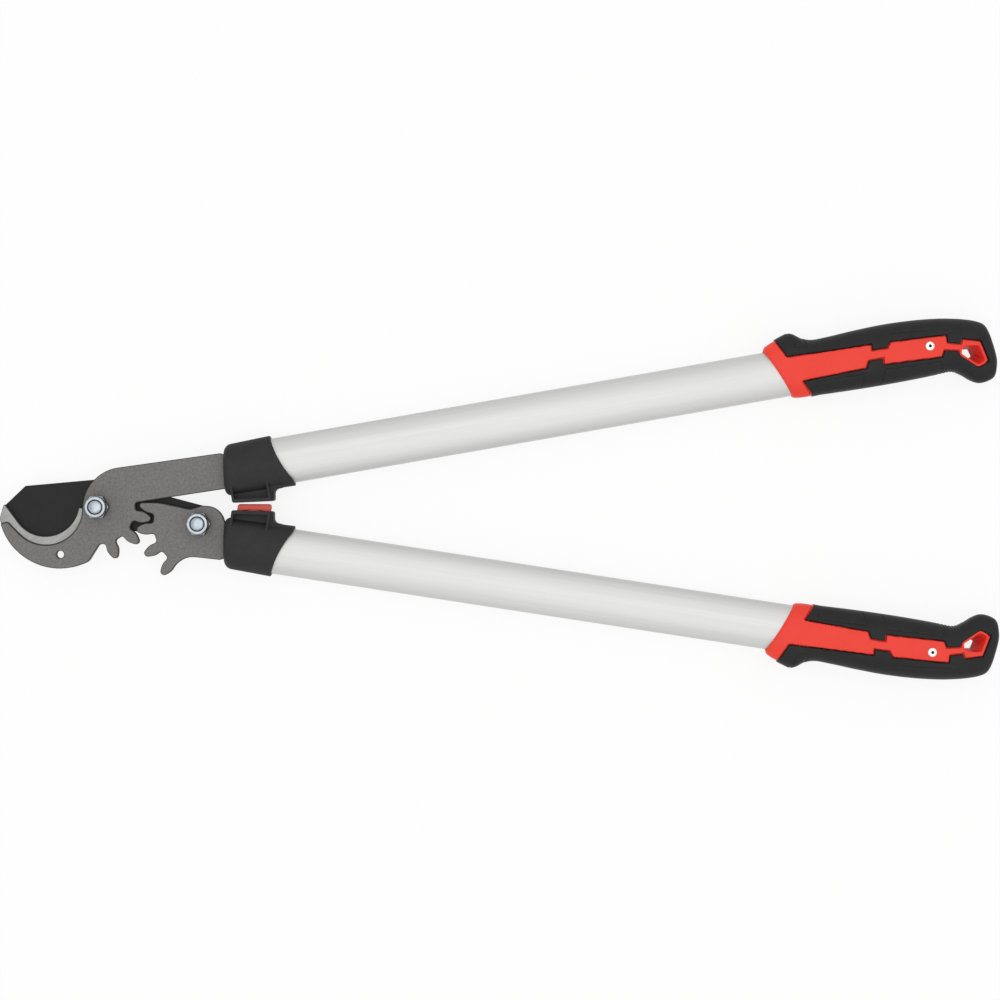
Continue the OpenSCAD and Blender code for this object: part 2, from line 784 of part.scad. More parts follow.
// Ferrule over the tube's mouth, with the stop bracket on its inner side
module ferrule(slotted) {
    difference() {
        union() {
            skin(ferrule_rings());
            bracket();
        }
        along(tube_from - fit_gap, ferrule_front + ferrule_len + ferrule_w)
            polygon(oval(socket_w, socket_h, oval_sides, oval_power));
        translate([-tang_len, -tang_w / 2 - fit_gap, -plate_t / 2 - fit_gap])
            cube([2 * tang_len, tang_w - tang_shoulder + 2 * fit_gap, plate_t + 2 * fit_gap]);
        if (slotted)
            tongue(fit_gap);
    }
}

module upper_ferrule() {
    color(plastic_black)
        upper_side()
            ferrule(false);
}

module lower_ferrule() {
    color(plastic_black)
        lower_side()
            ferrule(true);
}

// Line that faces the upper bracket across a gap, at a place along the lower handle
function facing_edge(u, gap) = let (
    to = bracket_from + bracket_len,
    near = from_head_to_lower(in_upper([bracket_from, bracket_edge(bracket_from)])),
    far = from_head_to_lower(in_upper([to, bracket_edge(to)])))
    gap + near.y + (far.y - near.y) * (u - near.x) / (far.x - near.x);

// Bumper's tongue, grown by a clearance for the slot that takes it
module tongue(grow) {
    from = bracket_from + bumper_inset + bumper_shoulder;
    to = from + bumper_len - 2 * bumper_shoulder;
    deep = bumper_depth - 2 * bumper_shoulder + 2 * grow;
    translate([0, 0, -deep / 2])
        linear_extrude(deep)
            polygon([[from - grow, bracket_edge(from) - overrun],
                [to + grow, bracket_edge(to) - overrun],
                [to + grow, bracket_edge(to) + tongue_reach],
                [from - grow, bracket_edge(from) + tongue_reach]]);
}

// Bumper between the two brackets
module bumper() {
    from = bracket_from + bumper_inset;
    to = from + bumper_len;
    color(rubber_red)
        lower_side()
            union() {
                translate([0, 0, -bumper_depth / 2])
                    linear_extrude(bumper_depth)
                        polygon(rounded([[from, bracket_edge(from), 0],
                            [from, facing_edge(from, bumper_gap), bumper_round],
                            [to, facing_edge(to, bumper_back_gap), bumper_round],
                            [to, bracket_edge(to), 0]]));
                tongue(0);
            }
}

// Rings of a grip's skin from one ring on, all drawn in by the same depth
function grip_rings(drawn, first) = [for (i = [first : len(grip_ring_shares) - 1])
    let (
        s = grip_ring_shares[i],
        stretch = (grip_len - drawn) / grip_len,
        tall = (s[1] - s[3]) * grip_half / 2,
        keep = max(tall - drawn, tall / 4) / tall,
        deep = max(s[4] * grip_depth - drawn, s[4] * grip_depth / 4),
        mid_u = (s[0] + s[2]) / 2 * grip_len * stretch,
        mid_v = (s[1] + s[3]) / 2 * grip_half,
        lean = (s[0] - s[2]) / 2 * grip_len * keep,
        half = tall * keep)
    [for (p = oval(2, 2, grip_sides, grip_power))
        [grip_from + mid_u + lean * p.x, mid_v + half * p.x, deep * p.y]]];

// Shares of a grip turned into places
function grip_places(shares) = [for (s = shares)
    [grip_from + s.x * grip_len, s.y * grip_half]];

// Ground plan of the red face, drawn in by a seam
module red_face(seam) {
    translate([0, 0, -grip_depth - overrun])
        linear_extrude(2 * grip_depth + 2 * overrun)
            offset(delta = -seam)
                polygon(grip_places(red_face_shares));
}

module hang_hole() {
    round = hole_round_share * grip_len;
    translate([0, 0, -grip_depth - overrun])
        linear_extrude(2 * grip_depth + 2 * overrun)
            polygon(rounded([for (p = grip_places(hang_hole_shares)) [p.x, p.y, round]]));
}

function rivet_seat() = grip_depth - face_drop - rivet_seat_gap;

// Red core of a grip: socket for the tube, raised face and hanging hole
module grip_core() {
    difference() {
        union() {
            skin(grip_rings(over_t + grip_seam, collar_rings));
            intersection() {
                skin(grip_rings(face_drop, 0));
                red_face(grip_seam);
            }
        }
        along(grip_from - grip_len, tube_to + fit_gap)
            polygon(oval(socket_w, socket_h, oval_sides, oval_power));
        hang_hole();
        translate([grip_from + rivet_place_shares.x * grip_len, rivet_place_shares.y * grip_half, 0]) {
            cylinder(d = rivet_shank_d + 2 * fit_gap, h = grip_depth);
            translate([0, 0, rivet_seat()])
                cylinder(d = rivet_head_d + 2 * fit_gap, h = grip_depth);
        }
    }
}

module upper_grip_core() {
    color(grip_red)
        upper_side()
            grip_core();
}

module lower_grip_core() {
    color(grip_red)
        lower_side()
            grip_core();
}

// Soft black overmould around the core
module grip_overmould() {
    difference() {
        skin(grip_rings(0, 0));
        skin(grip_rings(over_t, collar_rings));
        red_face(0);
    }
}

module upper_grip_overmould() {
    color(plastic_black)
        upper_side()
            grip_overmould();
}

module lower_grip_overmould() {
    color(plastic_black)
        lower_side()
            grip_overmould();
}

// Blind rivet through the grip and one tube wall
module grip_rivet() {
    head_r = rivet_head_d / 2;
    seat = rivet_seat();
    translate([grip_from + rivet_place_shares.x * grip_len, rivet_place_shares.y * grip_half, 0])
        rotate_extrude()
            polygon(concat([[0, seat - rivet_reach], [rivet_shank_d / 2, seat - rivet_reach],
                [rivet_shank_d / 2, seat], [head_r, seat]],
                [for (i = [1 : crown_steps - 1]) let (a = 90 * i / crown_steps)
                    [rivet_mandrel_d / 2 + (head_r - rivet_mandrel_d / 2) * cos(a),
                        seat + rivet_head_h * sin(a)]],
                [[rivet_mandrel_d / 2, seat + rivet_head_h],
                [rivet_mandrel_d / 2, seat + rivet_head_h - rivet_mandrel_h],
                [0, seat + rivet_head_h - rivet_mandrel_h]]));
}

module upper_grip_rivet() {
    color(zinc)
        upper_side()
            grip_rivet();
}

module lower_grip_rivet() {
    color(zinc)
        lower_side()
            grip_rivet();
}

hook_arm();
cutting_blade();
gear_arm();
main_bolt();
main_washer();
main_nut();
main_nut_ring();
gear_bolt();
gear_washer();
gear_nut();
gear_nut_ring();
upper_tube();
lower_tube();
upper_tang_insert();
lower_tang_insert();
upper_tang_pins();
lower_tang_pins();
upper_ferrule();
lower_ferrule();
bumper();
upper_grip_core();
lower_grip_core();
upper_grip_overmould();
lower_grip_overmould();
upper_grip_rivet();
lower_grip_rivet();
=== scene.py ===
"""Dresses the geared bypass lopper as it lies in the photograph, nuts up on a pale floor.

Smooth tubes, ferrules, a bumper and grips stand in for the plain solids of the same names, and the steel
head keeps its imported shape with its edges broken. Sizes in the classes are in millimetres, every mesh is
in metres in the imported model's own frame.
"""

import json
import logging
import math
from dataclasses import dataclass, replace
from enum import Enum

import bmesh
import bpy
import numpy as np
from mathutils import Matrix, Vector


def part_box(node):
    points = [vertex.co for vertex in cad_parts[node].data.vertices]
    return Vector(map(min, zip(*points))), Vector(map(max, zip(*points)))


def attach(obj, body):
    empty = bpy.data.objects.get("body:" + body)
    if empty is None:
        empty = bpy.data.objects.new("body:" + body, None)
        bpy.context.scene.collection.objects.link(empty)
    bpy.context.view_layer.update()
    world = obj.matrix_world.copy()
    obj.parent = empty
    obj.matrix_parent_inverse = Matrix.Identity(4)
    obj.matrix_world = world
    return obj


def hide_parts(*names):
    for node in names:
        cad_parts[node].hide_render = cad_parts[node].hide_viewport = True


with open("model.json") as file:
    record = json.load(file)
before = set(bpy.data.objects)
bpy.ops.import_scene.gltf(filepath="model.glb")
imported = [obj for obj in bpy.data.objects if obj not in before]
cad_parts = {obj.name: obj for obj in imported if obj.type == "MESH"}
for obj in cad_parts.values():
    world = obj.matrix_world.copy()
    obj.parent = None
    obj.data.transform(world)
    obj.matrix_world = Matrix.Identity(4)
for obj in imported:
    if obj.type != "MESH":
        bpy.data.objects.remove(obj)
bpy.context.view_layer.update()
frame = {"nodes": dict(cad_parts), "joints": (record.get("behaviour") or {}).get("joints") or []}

MM = 0.001
LOG = logging.getLogger("lopper")

# One size for each ring, or one for all of them
Sizes = np.ndarray | list[float] | float

# Roots of the handles' axes in plan and how far each handle splays, in degrees. The upper root is measured
# from the main pivot, and the lower one from the gear pivot, which this joint places.
GEAR_JOINT = "gear_swing"
UPPER_ROOT = (95.0, 27.25)
UPPER_SPLAY = 9.9
LOWER_ROOT = (19.0, -13.9)
LOWER_SPLAY = -8.7

# Angle in degrees past which an edge stays sharp
SHARP = 40.0
# Least length that a vector is divided by
TINY = 1e-9
# Range for the rise of a normal, from -1 to 1, in which a face looks up
FACING_UP = (0.9, 1.1)

# Octaves of the noise for grain and mottle, and the share that each finer octave of the mottle keeps
GRAIN_DETAIL = 3.0
PATCH_DETAIL = 6.0
PATCH_KEEP = 0.7
# Noise bunches about its middle: the mottle passes from one tone to the other between these values
MOTTLE_FROM = 0.32
MOTTLE_TO = 0.68
# Colour sockets of the mix node by number, because their names repeat for each type of data
MIX_SHARE, MIX_FIRST, MIX_SECOND, MIX_COLOUR = 0, 6, 7, 2


class Body(Enum):
    """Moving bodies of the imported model."""

    HOOK = "hook_side"
    BLADE = "blade"
    GEAR = "gear_side"


class Side(Enum):
    """The two handles."""

    UPPER = "upper"
    LOWER = "lower"


def linear(code: str) -> tuple[float, float, float, float]:
    """Turns an sRGB hex colour into linear light by the standard curve, a straight foot and a power.

    Args:
        code: Colour written as "#rrggbb".

    Returns:
        Red, green, blue and full cover, for a shader socket.
    """
    srgb = np.array([int(code[i:i + 2], 16) for i in (1, 3, 5)]) / 255
    light = np.where(srgb <= 0.04045, srgb / 12.92, ((srgb + 0.055) / 1.055) ** 2.4)
    return (*light.tolist(), 1.0)


def add_node(tree: bpy.types.NodeTree, kind: str, settings: dict | None = None,
             links: dict | None = None) -> bpy.types.Node:
    """Adds one shader node, sets it and links it.

    Args:
        tree: Node tree that gets the node.
        kind: Type name of the node.
        settings: Values by socket name, socket number or property name.
        links: Source sockets by the name or number of the input they feed.

    Returns:
        The new node.
    """
    node = tree.nodes.new(kind)
    for key, value in (settings or {}).items():
        if isinstance(key, int) or key in node.inputs:
            node.inputs[key].default_value = value
        else:
            setattr(node, key, value)
    for key, source in (links or {}).items():
        tree.links.new(source, node.inputs[key])
    return node


def bare_tree(owner: bpy.types.Material | bpy.types.World) -> bpy.types.NodeTree:
    """Gives a material or a world an empty node tree.

    Args:
        owner: The material or world.

    Returns:
        Its tree.
    """
    owner.use_nodes = True
    owner.node_tree.nodes.clear()
    return owner.node_tree


@dataclass(frozen=True)
class Finish:
    """A finish with two tones mottled together and a fine grain that moves its gloss and its height.

    Mottle and grain are noise in the object's own coordinates, sized in millimetres. The mottle runs from
    its own size down to the grain's. A draw larger than 1 pulls both out along the handle, as a drawn tube
    or a grinding wheel leaves them.
    """

    name: str
    slot: str
    tone: str
    patch_tone: str
    roughness: float
    roughness_swing: float
    grain_mm: float
    relief_mm: float
    patch_mm: float = 18.0
    metallic: float = 0.0
    specular: float = 0.5
    draw: float = 1.0
    turn: float = 0.0

    def material(self) -> bpy.types.Material:
        """Makes the material on first use and gives the same one afterwards.

        Returns:
            The finish as a node material.
        """
        made = bpy.data.materials.get(self.name)
        if made:
            return made
        made = bpy.data.materials.new(self.name)
        tree = bare_tree(made)
        place = add_node(tree, "ShaderNodeTexCoord").outputs["Object"]
        drawn = add_node(tree, "ShaderNodeMapping", {
            "vector_type": "TEXTURE", "Rotation": (0, 0, math.radians(self.turn)),
            "Scale": (self.draw, 1, 1)}, {"Vector": place}).outputs["Vector"]
        grain = add_node(tree, "ShaderNodeTexNoise", {
            "Scale": 1 / (self.grain_mm * MM), "Detail": GRAIN_DETAIL}, {"Vector": drawn}).outputs["Fac"]
        patch = add_node(tree, "ShaderNodeTexNoise", {
            "Scale": 1 / (self.patch_mm * MM), "Detail": PATCH_DETAIL, "Roughness": PATCH_KEEP},
            {"Vector": drawn}).outputs["Fac"]
        spread = add_node(tree, "ShaderNodeMapRange", {"From Min": MOTTLE_FROM, "From Max": MOTTLE_TO},
                          {"Value": patch})
        tone = add_node(tree, "ShaderNodeMix", {
            "data_type": "RGBA", MIX_FIRST: linear(self.tone), MIX_SECOND: linear(self.patch_tone)},
            {MIX_SHARE: spread.outputs["Result"]})
        gloss = add_node(tree, "ShaderNodeMapRange", {
            "To Min": self.roughness - self.roughness_swing,
            "To Max": self.roughness + self.roughness_swing}, {"Value": grain})
        height = add_node(tree, "ShaderNodeBump", {"Distance": self.relief_mm * MM}, {"Height": grain})
        shader = add_node(tree, "ShaderNodeBsdfPrincipled", {
            "Metallic": self.metallic, "Specular IOR Level": self.specular}, {
            "Base Color": tone.outputs[MIX_COLOUR], "Roughness": gloss.outputs["Result"],
            "Normal": height.outputs["Normal"]})
        add_node(tree, "ShaderNodeOutputMaterial", links={"Surface": shader.outputs["BSDF"]})
        return made


# Plates with a baked-on matt grey non-stick coat, sprayed over blasted steel: a warm grey with a pebbled
# mottle. The real pebble is near 0.1 mm and is drawn coarser, so that it shows.
COATED_STEEL = Finish("matt_coated_steel", "coated_steel", "#797876", "#5f5e5c", 0.58, 0.1, 0.7, 0.03,
                      patch_mm=1.6, specular=0.35)
# The same coat darkened as painted shade on the plates' upright walls, hole walls and broken edges: a thin
# dark line round each plate
COATED_SHADE = Finish("coated_steel_painted_shade", "coated_steel", "#454442", "#3c3b3a", 0.6, 0.06, 0.7, 0.02,
                     patch_mm=1.6, specular=0.25)
# Jaw edge milled after coating: bare steel, pale and satin, with short cutter marks
MILLED_STEEL = Finish("milled_steel", "coated_steel", "#999997", "#888886", 0.45, 0.08, 0.5, 0.01,
                      patch_mm=3.0, metallic=1.0, draw=4.0, turn=35.0)
# Blade under a black non-stick coat: nearly flat charcoal with a low sheen
BLADE_COAT = Finish("black_coated_steel", "blade_coating", "#1b1b1c", "#171718", 0.5, 0.08, 0.8, 0.02,
                    patch_mm=6.0, specular=0.22)
# Blade edge ground bare on its far side: bright steel with grinding lines
GROUND_STEEL = Finish("ground_steel", "blade_coating", "#c2c4c6", "#b3b5b8", 0.3, 0.08, 0.35, 0.006,
                      metallic=1.0, draw=12.0, turn=60.0)
# Bright zinc plate on turned steel: cold, faintly blue and glossy, a little clouded
ZINC_PLATE = Finish("bright_zinc_plate", "zinc_steel", "#b0b7bc", "#949ca3", 0.26, 0.08, 0.6, 0.012,
                    patch_mm=2.5, metallic=1.0)
# The same plate on the upright flats of the nuts, bolts and washers, darkened to brown grey: a painted dark
# reflection of the grey plate beside them
ZINC_PAINTED_REFLECTION = Finish("zinc_plate_painted_reflection", "zinc_steel", "#6f6863", "#5e5853", 0.5, 0.08, 0.6, 0.012,
                   patch_mm=2.5, metallic=1.0)
# Aluminium rivet head, bright as it was formed: nearly white
RIVET_ALUMINIUM = Finish("bright_aluminium", "zinc_steel", "#f3f1ef", "#e6e4e2", 0.34, 0.06, 0.5, 0.006,
                         patch_mm=2.0, metallic=1.0)
# Plain steel pins, turned
PLAIN_STEEL = Finish("turned_steel", "steel_pin", "#9d9d9f", "#939395", 0.35, 0.05, 0.5, 0.006,
                     metallic=1.0)
# Snapped end of a rivet's steel mandrel, down in the head: rough steel, darkened as painted shade of the
# hole it sits in
MANDREL_SHADE = Finish("mandrel_painted_shade", "zinc_steel", "#2a2a2c", "#1f1f21", 0.7, 0.1, 0.4, 0.03,
                       patch_mm=1.0, specular=0.2)
# Nylon lock ring, turned flush: dark teal and waxy
NYLON = Finish("blue_nylon", "nylon", "#1b2a38", "#16222e", 0.5, 0.05, 0.6, 0.01,
               patch_mm=3.0, specular=0.3)
# Drawn aluminium, satin anodised: silver with hair-fine lines along the tube, which are really near
# 0.05 mm apart and are drawn coarser, so that they show
SATIN_ALUMINIUM = Finish("satin_anodised_aluminium", "aluminium_tube", "#d5d5d4", "#cdcdcc", 0.6, 0.05,
                         0.45, 0.004, patch_mm=6.0, metallic=1.0, draw=80.0)
# Glass-filled nylon filler, moulded
FILLER = Finish("moulded_filler", "filler_plastic", "#7c7c7e", "#747476", 0.6, 0.05, 0.6, 0.02)
# Ferrules of black nylon from a spark-textured mould: matt with a fine tooth, drawn coarser to show
MOULDED_BLACK = Finish("spark_textured_nylon", "black_plastic", "#29292a", "#222223", 0.62, 0.08, 0.6, 0.04,
                       patch_mm=8.0, specular=0.28)
# Soft black elastomer overmould: smooth, dark, with a low satin sheen
SOFT_BLACK = Finish("soft_elastomer", "soft_black", "#1e1e1f", "#18181a", 0.5, 0.06, 0.7, 0.015,
                    patch_mm=12.0, specular=0.24)
# Red polypropylene core, moulded satin: even warm red
RED_PLASTIC = Finish("satin_red_polypropylene", "red_plastic", "#eb3f30", "#e63a2b", 0.48, 0.05, 0.8, 0.01,
                     specular=0.3)
# Red rubber bumper: duller and darker red
RED_RUBBER = Finish("matt_red_rubber", "red_rubber", "#d4574b", "#c84f43", 0.6, 0.05, 0.7, 0.02,
                    patch_mm=6.0, specular=0.3)


def grid_quads(rows: int, columns: int, close_rows: bool) -> np.ndarray:
    """Quads of a grid whose columns close round.

    Args:
        rows: Rings in the grid.
        columns: Points in a ring.
        close_rows: Whether the last ring joins the first.

    Returns:
        Point numbers, four to a row.
    """
    i, j = np.meshgrid(np.arange(rows if close_rows else rows - 1), np.arange(columns), indexing="ij")
    down, right = (i + 1) % rows, (j + 1) % columns
    return np.stack((i * columns + j, i * columns + right, down * columns + right, down * columns + j),
                    -1).reshape(-1, 4)


def through_walls(quads: np.ndarray, rows: int, columns: int) -> np.ndarray:
    """Quads that close a cut made alike in a grid's upper and lower half.

    An edge is open where no face runs along it the other way. Each open edge of the upper half, apart from
    the grid's own ends, is joined to its mirror image, which lies in the same rings at the opposite angle.

    Args:
        quads: Faces that are left, n by 4.
        rows: Rings of the grid.
        columns: Points in a ring.

    Returns:
        The walls, m by 4.
    """
    start, end = quads.ravel(), np.roll(quads, -1, 1).ravel()
    size = rows * columns
    lone = ~np.isin(start * size + end, end * size + start)
    ring, place = np.divmod(np.stack((start, end)), columns)
    cut = lone & ((place < columns / 2) & (ring > 0) & (ring < rows - 1)).all(0)
    near = np.stack((end[cut], start[cut]), -1)
    far = near - near % columns + -near % columns
    return np.concatenate((near, far[:, ::-1]), -1)


class Shell:
    """A mesh gathered from closed patches of grid points, in millimetres of a handle's frame."""

    def __init__(self) -> None:
        """Starts with no patch."""
        self.points: list[np.ndarray] = []
        self.corners: list[np.ndarray] = []
        self.sizes: list[np.ndarray] = []
        self.count = 0

    def add(self, grid: np.ndarray, close_rows: bool = False, caps: tuple[bool, bool] = (False, False),
            keep: np.ndarray | None = None) -> None:
        """Adds one patch and turns its faces outwards.

        The faces are quads between neighbouring rings, with a fan of triangles over a capped end. Where
        the signed volume, a sixth of the sum of the triple products, is negative, all are turned round.

        Args:
            grid: Points as rings by columns by 3.
            close_rows: Whether the last ring joins the first.
            caps: Whether the first and the last ring are closed by a fan.
            keep: Which quads stay, as a flat mask; all of them by default. Walls close the cut.
        """
        rows, columns = grid.shape[:2]
        points = grid.reshape(-1, 3)
        quads = grid_quads(rows, columns, close_rows)
        if keep is not None:
            quads = np.concatenate((quads[keep], through_walls(quads[keep], rows, columns)))
        fans = np.zeros((0, 3), int)
        for capped, row, turn in ((caps[0], 0, -1), (caps[1], rows - 1, 1)):
            if capped:
                ring = np.arange(columns) + row * columns
                middle = np.full(columns, len(points))
                fans = np.concatenate((fans, np.stack((ring, np.roll(ring, -1), middle), -1)[:, ::turn]))
                points = np.concatenate((points, grid[row].mean(0, keepdims=True)))
        halves = np.concatenate((quads[:, [0, 1, 2]], quads[:, [0, 2, 3]], fans))
        a, b, c = (points[halves[:, k]] - points.mean(0) for k in range(3))
        if np.einsum("ij,ij->", a, np.cross(b, c)) < 0:
            quads, fans = quads[:, ::-1], fans[:, ::-1]
        self.points.append(points)
        self.corners += [quads.ravel() + self.count, fans.ravel() + self.count]
        self.sizes += [np.full(len(quads), 4), np.full(len(fans), 3)]
        self.count += len(points)

    def build(self, name: str, handle: "HandleFrame", finish: Finish, node: str,
              sharp: float = SHARP) -> bpy.types.Object:
        """Turns the patches into one smooth-shaded, dressed piece.

        Args:
            name: Name of the piece.
            handle: Frame that carries the points into the model, whose body the piece rides on.
            finish: Finish of the piece.
            node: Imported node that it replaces.
            sharp: Angle in degrees past which an edge stays sharp.

        Returns:
            The piece, linked to the scene.
        """
        corners, sizes = np.concatenate(self.corners), np.concatenate(self.sizes)
        starts = np.concatenate(([0], np.cumsum(sizes)[:-1]))
        if handle.mirrored:
            order = np.repeat(starts, sizes) + np.repeat(sizes, sizes) - 1
            corners = corners[order - (np.arange(len(corners)) - np.repeat(starts, sizes))]
        mesh = bpy.data.meshes.new(name)
        mesh.vertices.add(self.count)
        mesh.vertices.foreach_set("co", handle.place(np.concatenate(self.points)).ravel())
        mesh.loops.add(len(corners))
        mesh.loops.foreach_set("vertex_index", corners)
        mesh.polygons.add(len(sizes))
        mesh.polygons.foreach_set("loop_start", starts)
        mesh.update(calc_edges=True)
        mesh.validate()
        piece = smooth_object(name, mesh, sharp)
        settle(piece, [finish], handle.body, node)
        return piece


def linked(name: str, data: bpy.types.ID) -> bpy.types.Object:
    """Makes an object of some data and links it to the scene.

    Args:
        name: Name of the object.
        data: Its mesh, light or camera.

    Returns:
        The object at the origin.
    """
    made = bpy.data.objects.new(name, data)
    bpy.context.scene.collection.objects.link(made)
    return made


def smooth_object(name: str, mesh: bpy.types.Mesh, sharp: float) -> bpy.types.Object:
    """Shades a mesh smooth between its sharp edges and links it to the scene.

    Args:
        name: Name of the object.
        mesh: Its mesh, in the model's frame.
        sharp: Angle in degrees past which an edge stays sharp.

    Returns:
        The object at the origin.
    """
    mesh.polygons.foreach_set("use_smooth", np.ones(len(mesh.polygons), bool))
    mesh.set_sharp_from_angle(angle=math.radians(sharp))
    return linked(name, mesh)


def settle(piece: bpy.types.Object, finishes: list[Finish], body: Body, *nodes: str) -> None:
    """Gives a piece its finishes and its body, and hides the solids it stands for.

    Args:
        piece: The new piece.
        finishes: Finishes in slot order.
        body: Body that the piece rides on.
        nodes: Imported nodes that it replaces.
    """
    piece.data.materials.clear()
    for finish in finishes:
        piece.data.materials.append(finish.material())
    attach(piece, body.value)
    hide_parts(*nodes)
    LOG.info("%s: %d faces on %s", piece.name, len(piece.data.polygons), body.value)


def superellipse(angle: np.ndarray, power: Sizes) -> tuple[np.ndarray, np.ndarray]:
    """Unit oval, an ellipse at power 2: cosine and sine to the power 2/power with their signs kept."""
    c, s = np.cos(angle), np.sin(angle)
    return np.sign(c) * np.abs(c) ** (2 / power), np.sign(s) * np.abs(s) ** (2 / power)


def oval_rings(along: Sizes, slope: Sizes, half_v: Sizes, half_w: Sizes, power: Sizes,
               columns: int) -> np.ndarray:
    """Oval rings across a handle, each in a plane whose u grows with v by its slope.

    Args:
        along: u of each ring at its middle.
        slope: Growth of u with v.
        half_v: Half width.
        half_w: Half depth.
        power: Squareness.
        columns: Points in a ring.

    Returns:
        Points as rings by columns by 3.
    """
    sizes = np.broadcast_arrays(along, slope, half_v, half_w, power)
    middle, lean, wide, deep, square = (size[:, None] for size in sizes)
    c, s = superellipse(np.linspace(0, 2 * np.pi, columns, endpoint=False), square)
    v, w = c * wide, s * deep
    return np.stack((middle + lean * v, v, w), -1)


def rounded_outline(corners: list[tuple[float, float, float]], steps: int) -> tuple[np.ndarray, np.ndarray]:
    """Closed outline whose corners are arcs that touch both their edges.

    Each arc's centre lies on the corner's bisector at radius / sin(half angle) from the corner.

    Args:
        corners: Corners as (x, y, radius).
        steps: Points in each arc.

    Returns:
        Points of the outline, and the outward normal at each.
    """
    table = np.array(corners, float)
    place, radius = table[:, :2], table[:, 2:]
    back, ahead = np.roll(place, 1, 0) - place, np.roll(place, -1, 0) - place
    p, q = (edge / np.linalg.norm(edge, axis=1, keepdims=True) for edge in (back, ahead))
    half = np.arccos(np.clip((p * q).sum(1, keepdims=True), -1, 1)) / 2
    side = np.sign(p[:, :1] * q[:, 1:] - p[:, 1:] * q[:, :1])
    bisector = (p + q) / np.linalg.norm(p + q, axis=1, keepdims=True)
    centre = place + bisector * radius / np.sin(half)
    start = place + p * radius / np.tan(half) - centre
    angle = np.arctan2(start[:, 1:], start[:, :1]) + side * (2 * half - np.pi) * np.linspace(0, 1, steps)
    spoke = np.stack((np.cos(angle), np.sin(angle)), -1)
    area = (place[:, 0] * np.roll(place[:, 1], -1) - place[:, 1] * np.roll(place[:, 0], -1)).sum()
    normal = spoke * (-side * np.sign(area))[..., None]
    return (centre[:, None] + radius[:, None] * spoke).reshape(-1, 2), normal.reshape(-1, 2)


def stacked(outline: tuple[np.ndarray, np.ndarray], levels: list[tuple[float, float]]) -> np.ndarray:
    """Rings of an outline, drawn in along its normals, at rising or falling heights.

    Args:
        outline: Points and outward normals.
        levels: Each ring's inset and height.

    Returns:
        Points as rings by columns by 3.
    """
    points, normals = outline
    inset, height = np.array(levels, float).T
    plan = points[None] - normals[None] * inset[:, None, None]
    return np.concatenate((plan, np.broadcast_to(height[:, None, None], plan.shape[:2] + (1,))), -1)


def outline_distance(points: np.ndarray, corners: np.ndarray, closed: bool = True) -> np.ndarray:
    """Distance from points to a polygon's edges, or to a broken line.

    Each point is dropped onto each edge, clamped to the edge's ends, and the nearest foot counts.

    Args:
        points: Places, any shape by 2.
        corners: Corners of the line, n by 2.
        closed: Whether the last corner joins the first.

    Returns:
        The distances.
    """
    start = corners if closed else corners[:-1]
    edge = (np.roll(corners, -1, 0) if closed else corners[1:]) - start
    nearest = np.full(points.shape[:-1], np.inf)
    for a, e in zip(start, edge):
        share = np.clip(((points - a) @ e) / (e @ e), 0, 1)
        nearest = np.minimum(nearest, np.linalg.norm(points - a - share[..., None] * e, axis=-1))
    return nearest


def inside(points: np.ndarray, corners: np.ndarray) -> np.ndarray:
    """Tells which points lie in a polygon: a ray from each crosses its edges an odd number of times.

    Args:
        points: Places, any shape by 2.
        corners: Corners of the polygon, n by 2.

    Returns:
        A mask of the points' shape.
    """
    odd = np.zeros(points.shape[:-1], bool)
    for a, b in zip(corners, np.roll(corners, -1, 0)):
        spans = (a[1] > points[..., 1]) != (b[1] > points[..., 1])
        rise = np.where(b[1] == a[1], 1, b[1] - a[1])
        odd ^= spans & (points[..., 0] < a[0] + (points[..., 1] - a[1]) * (b[0] - a[0]) / rise)
    return odd


def smoothstep(x: np.ndarray) -> np.ndarray:
    """Soft step from 0 to 1: three x squared less two x cubed, held outside 0 to 1."""
    t = np.clip(x, 0, 1)
    return t * t * (3 - 2 * t)


def quarter(steps: int) -> tuple[np.ndarray, np.ndarray]:
    """Cosines and sines of a quarter turn in equal steps."""
    angle = np.linspace(0, np.pi / 2, steps)
    return np.cos(angle), np.sin(angle)


def valley(distance: np.ndarray, half: float) -> np.ndarray:
    """Share of a rounded valley's depth: a soft step, from all at 0.5 half widths to none at 1.5."""
    return smoothstep(1.5 - distance / half)


def edge_bend(radius: float, steps: int) -> list[tuple[float, float]]:
    """Inset and drop of each ring of an edge rounded by a quarter turn, from the flat to the wall."""
    cos, sin = quarter(steps)
    return list(zip(radius * (1 - sin), radius * (1 - cos)))


def both_ends(bend: list[tuple[float, float]], half: float) -> list[tuple[float, float]]:
    """Inset and height of each ring of a bar whose edges are bent alike at both flats."""
    back = [(inset, drop - half) for inset, drop in bend]
    return back + [(inset, half - drop) for inset, drop in bend[::-1]]


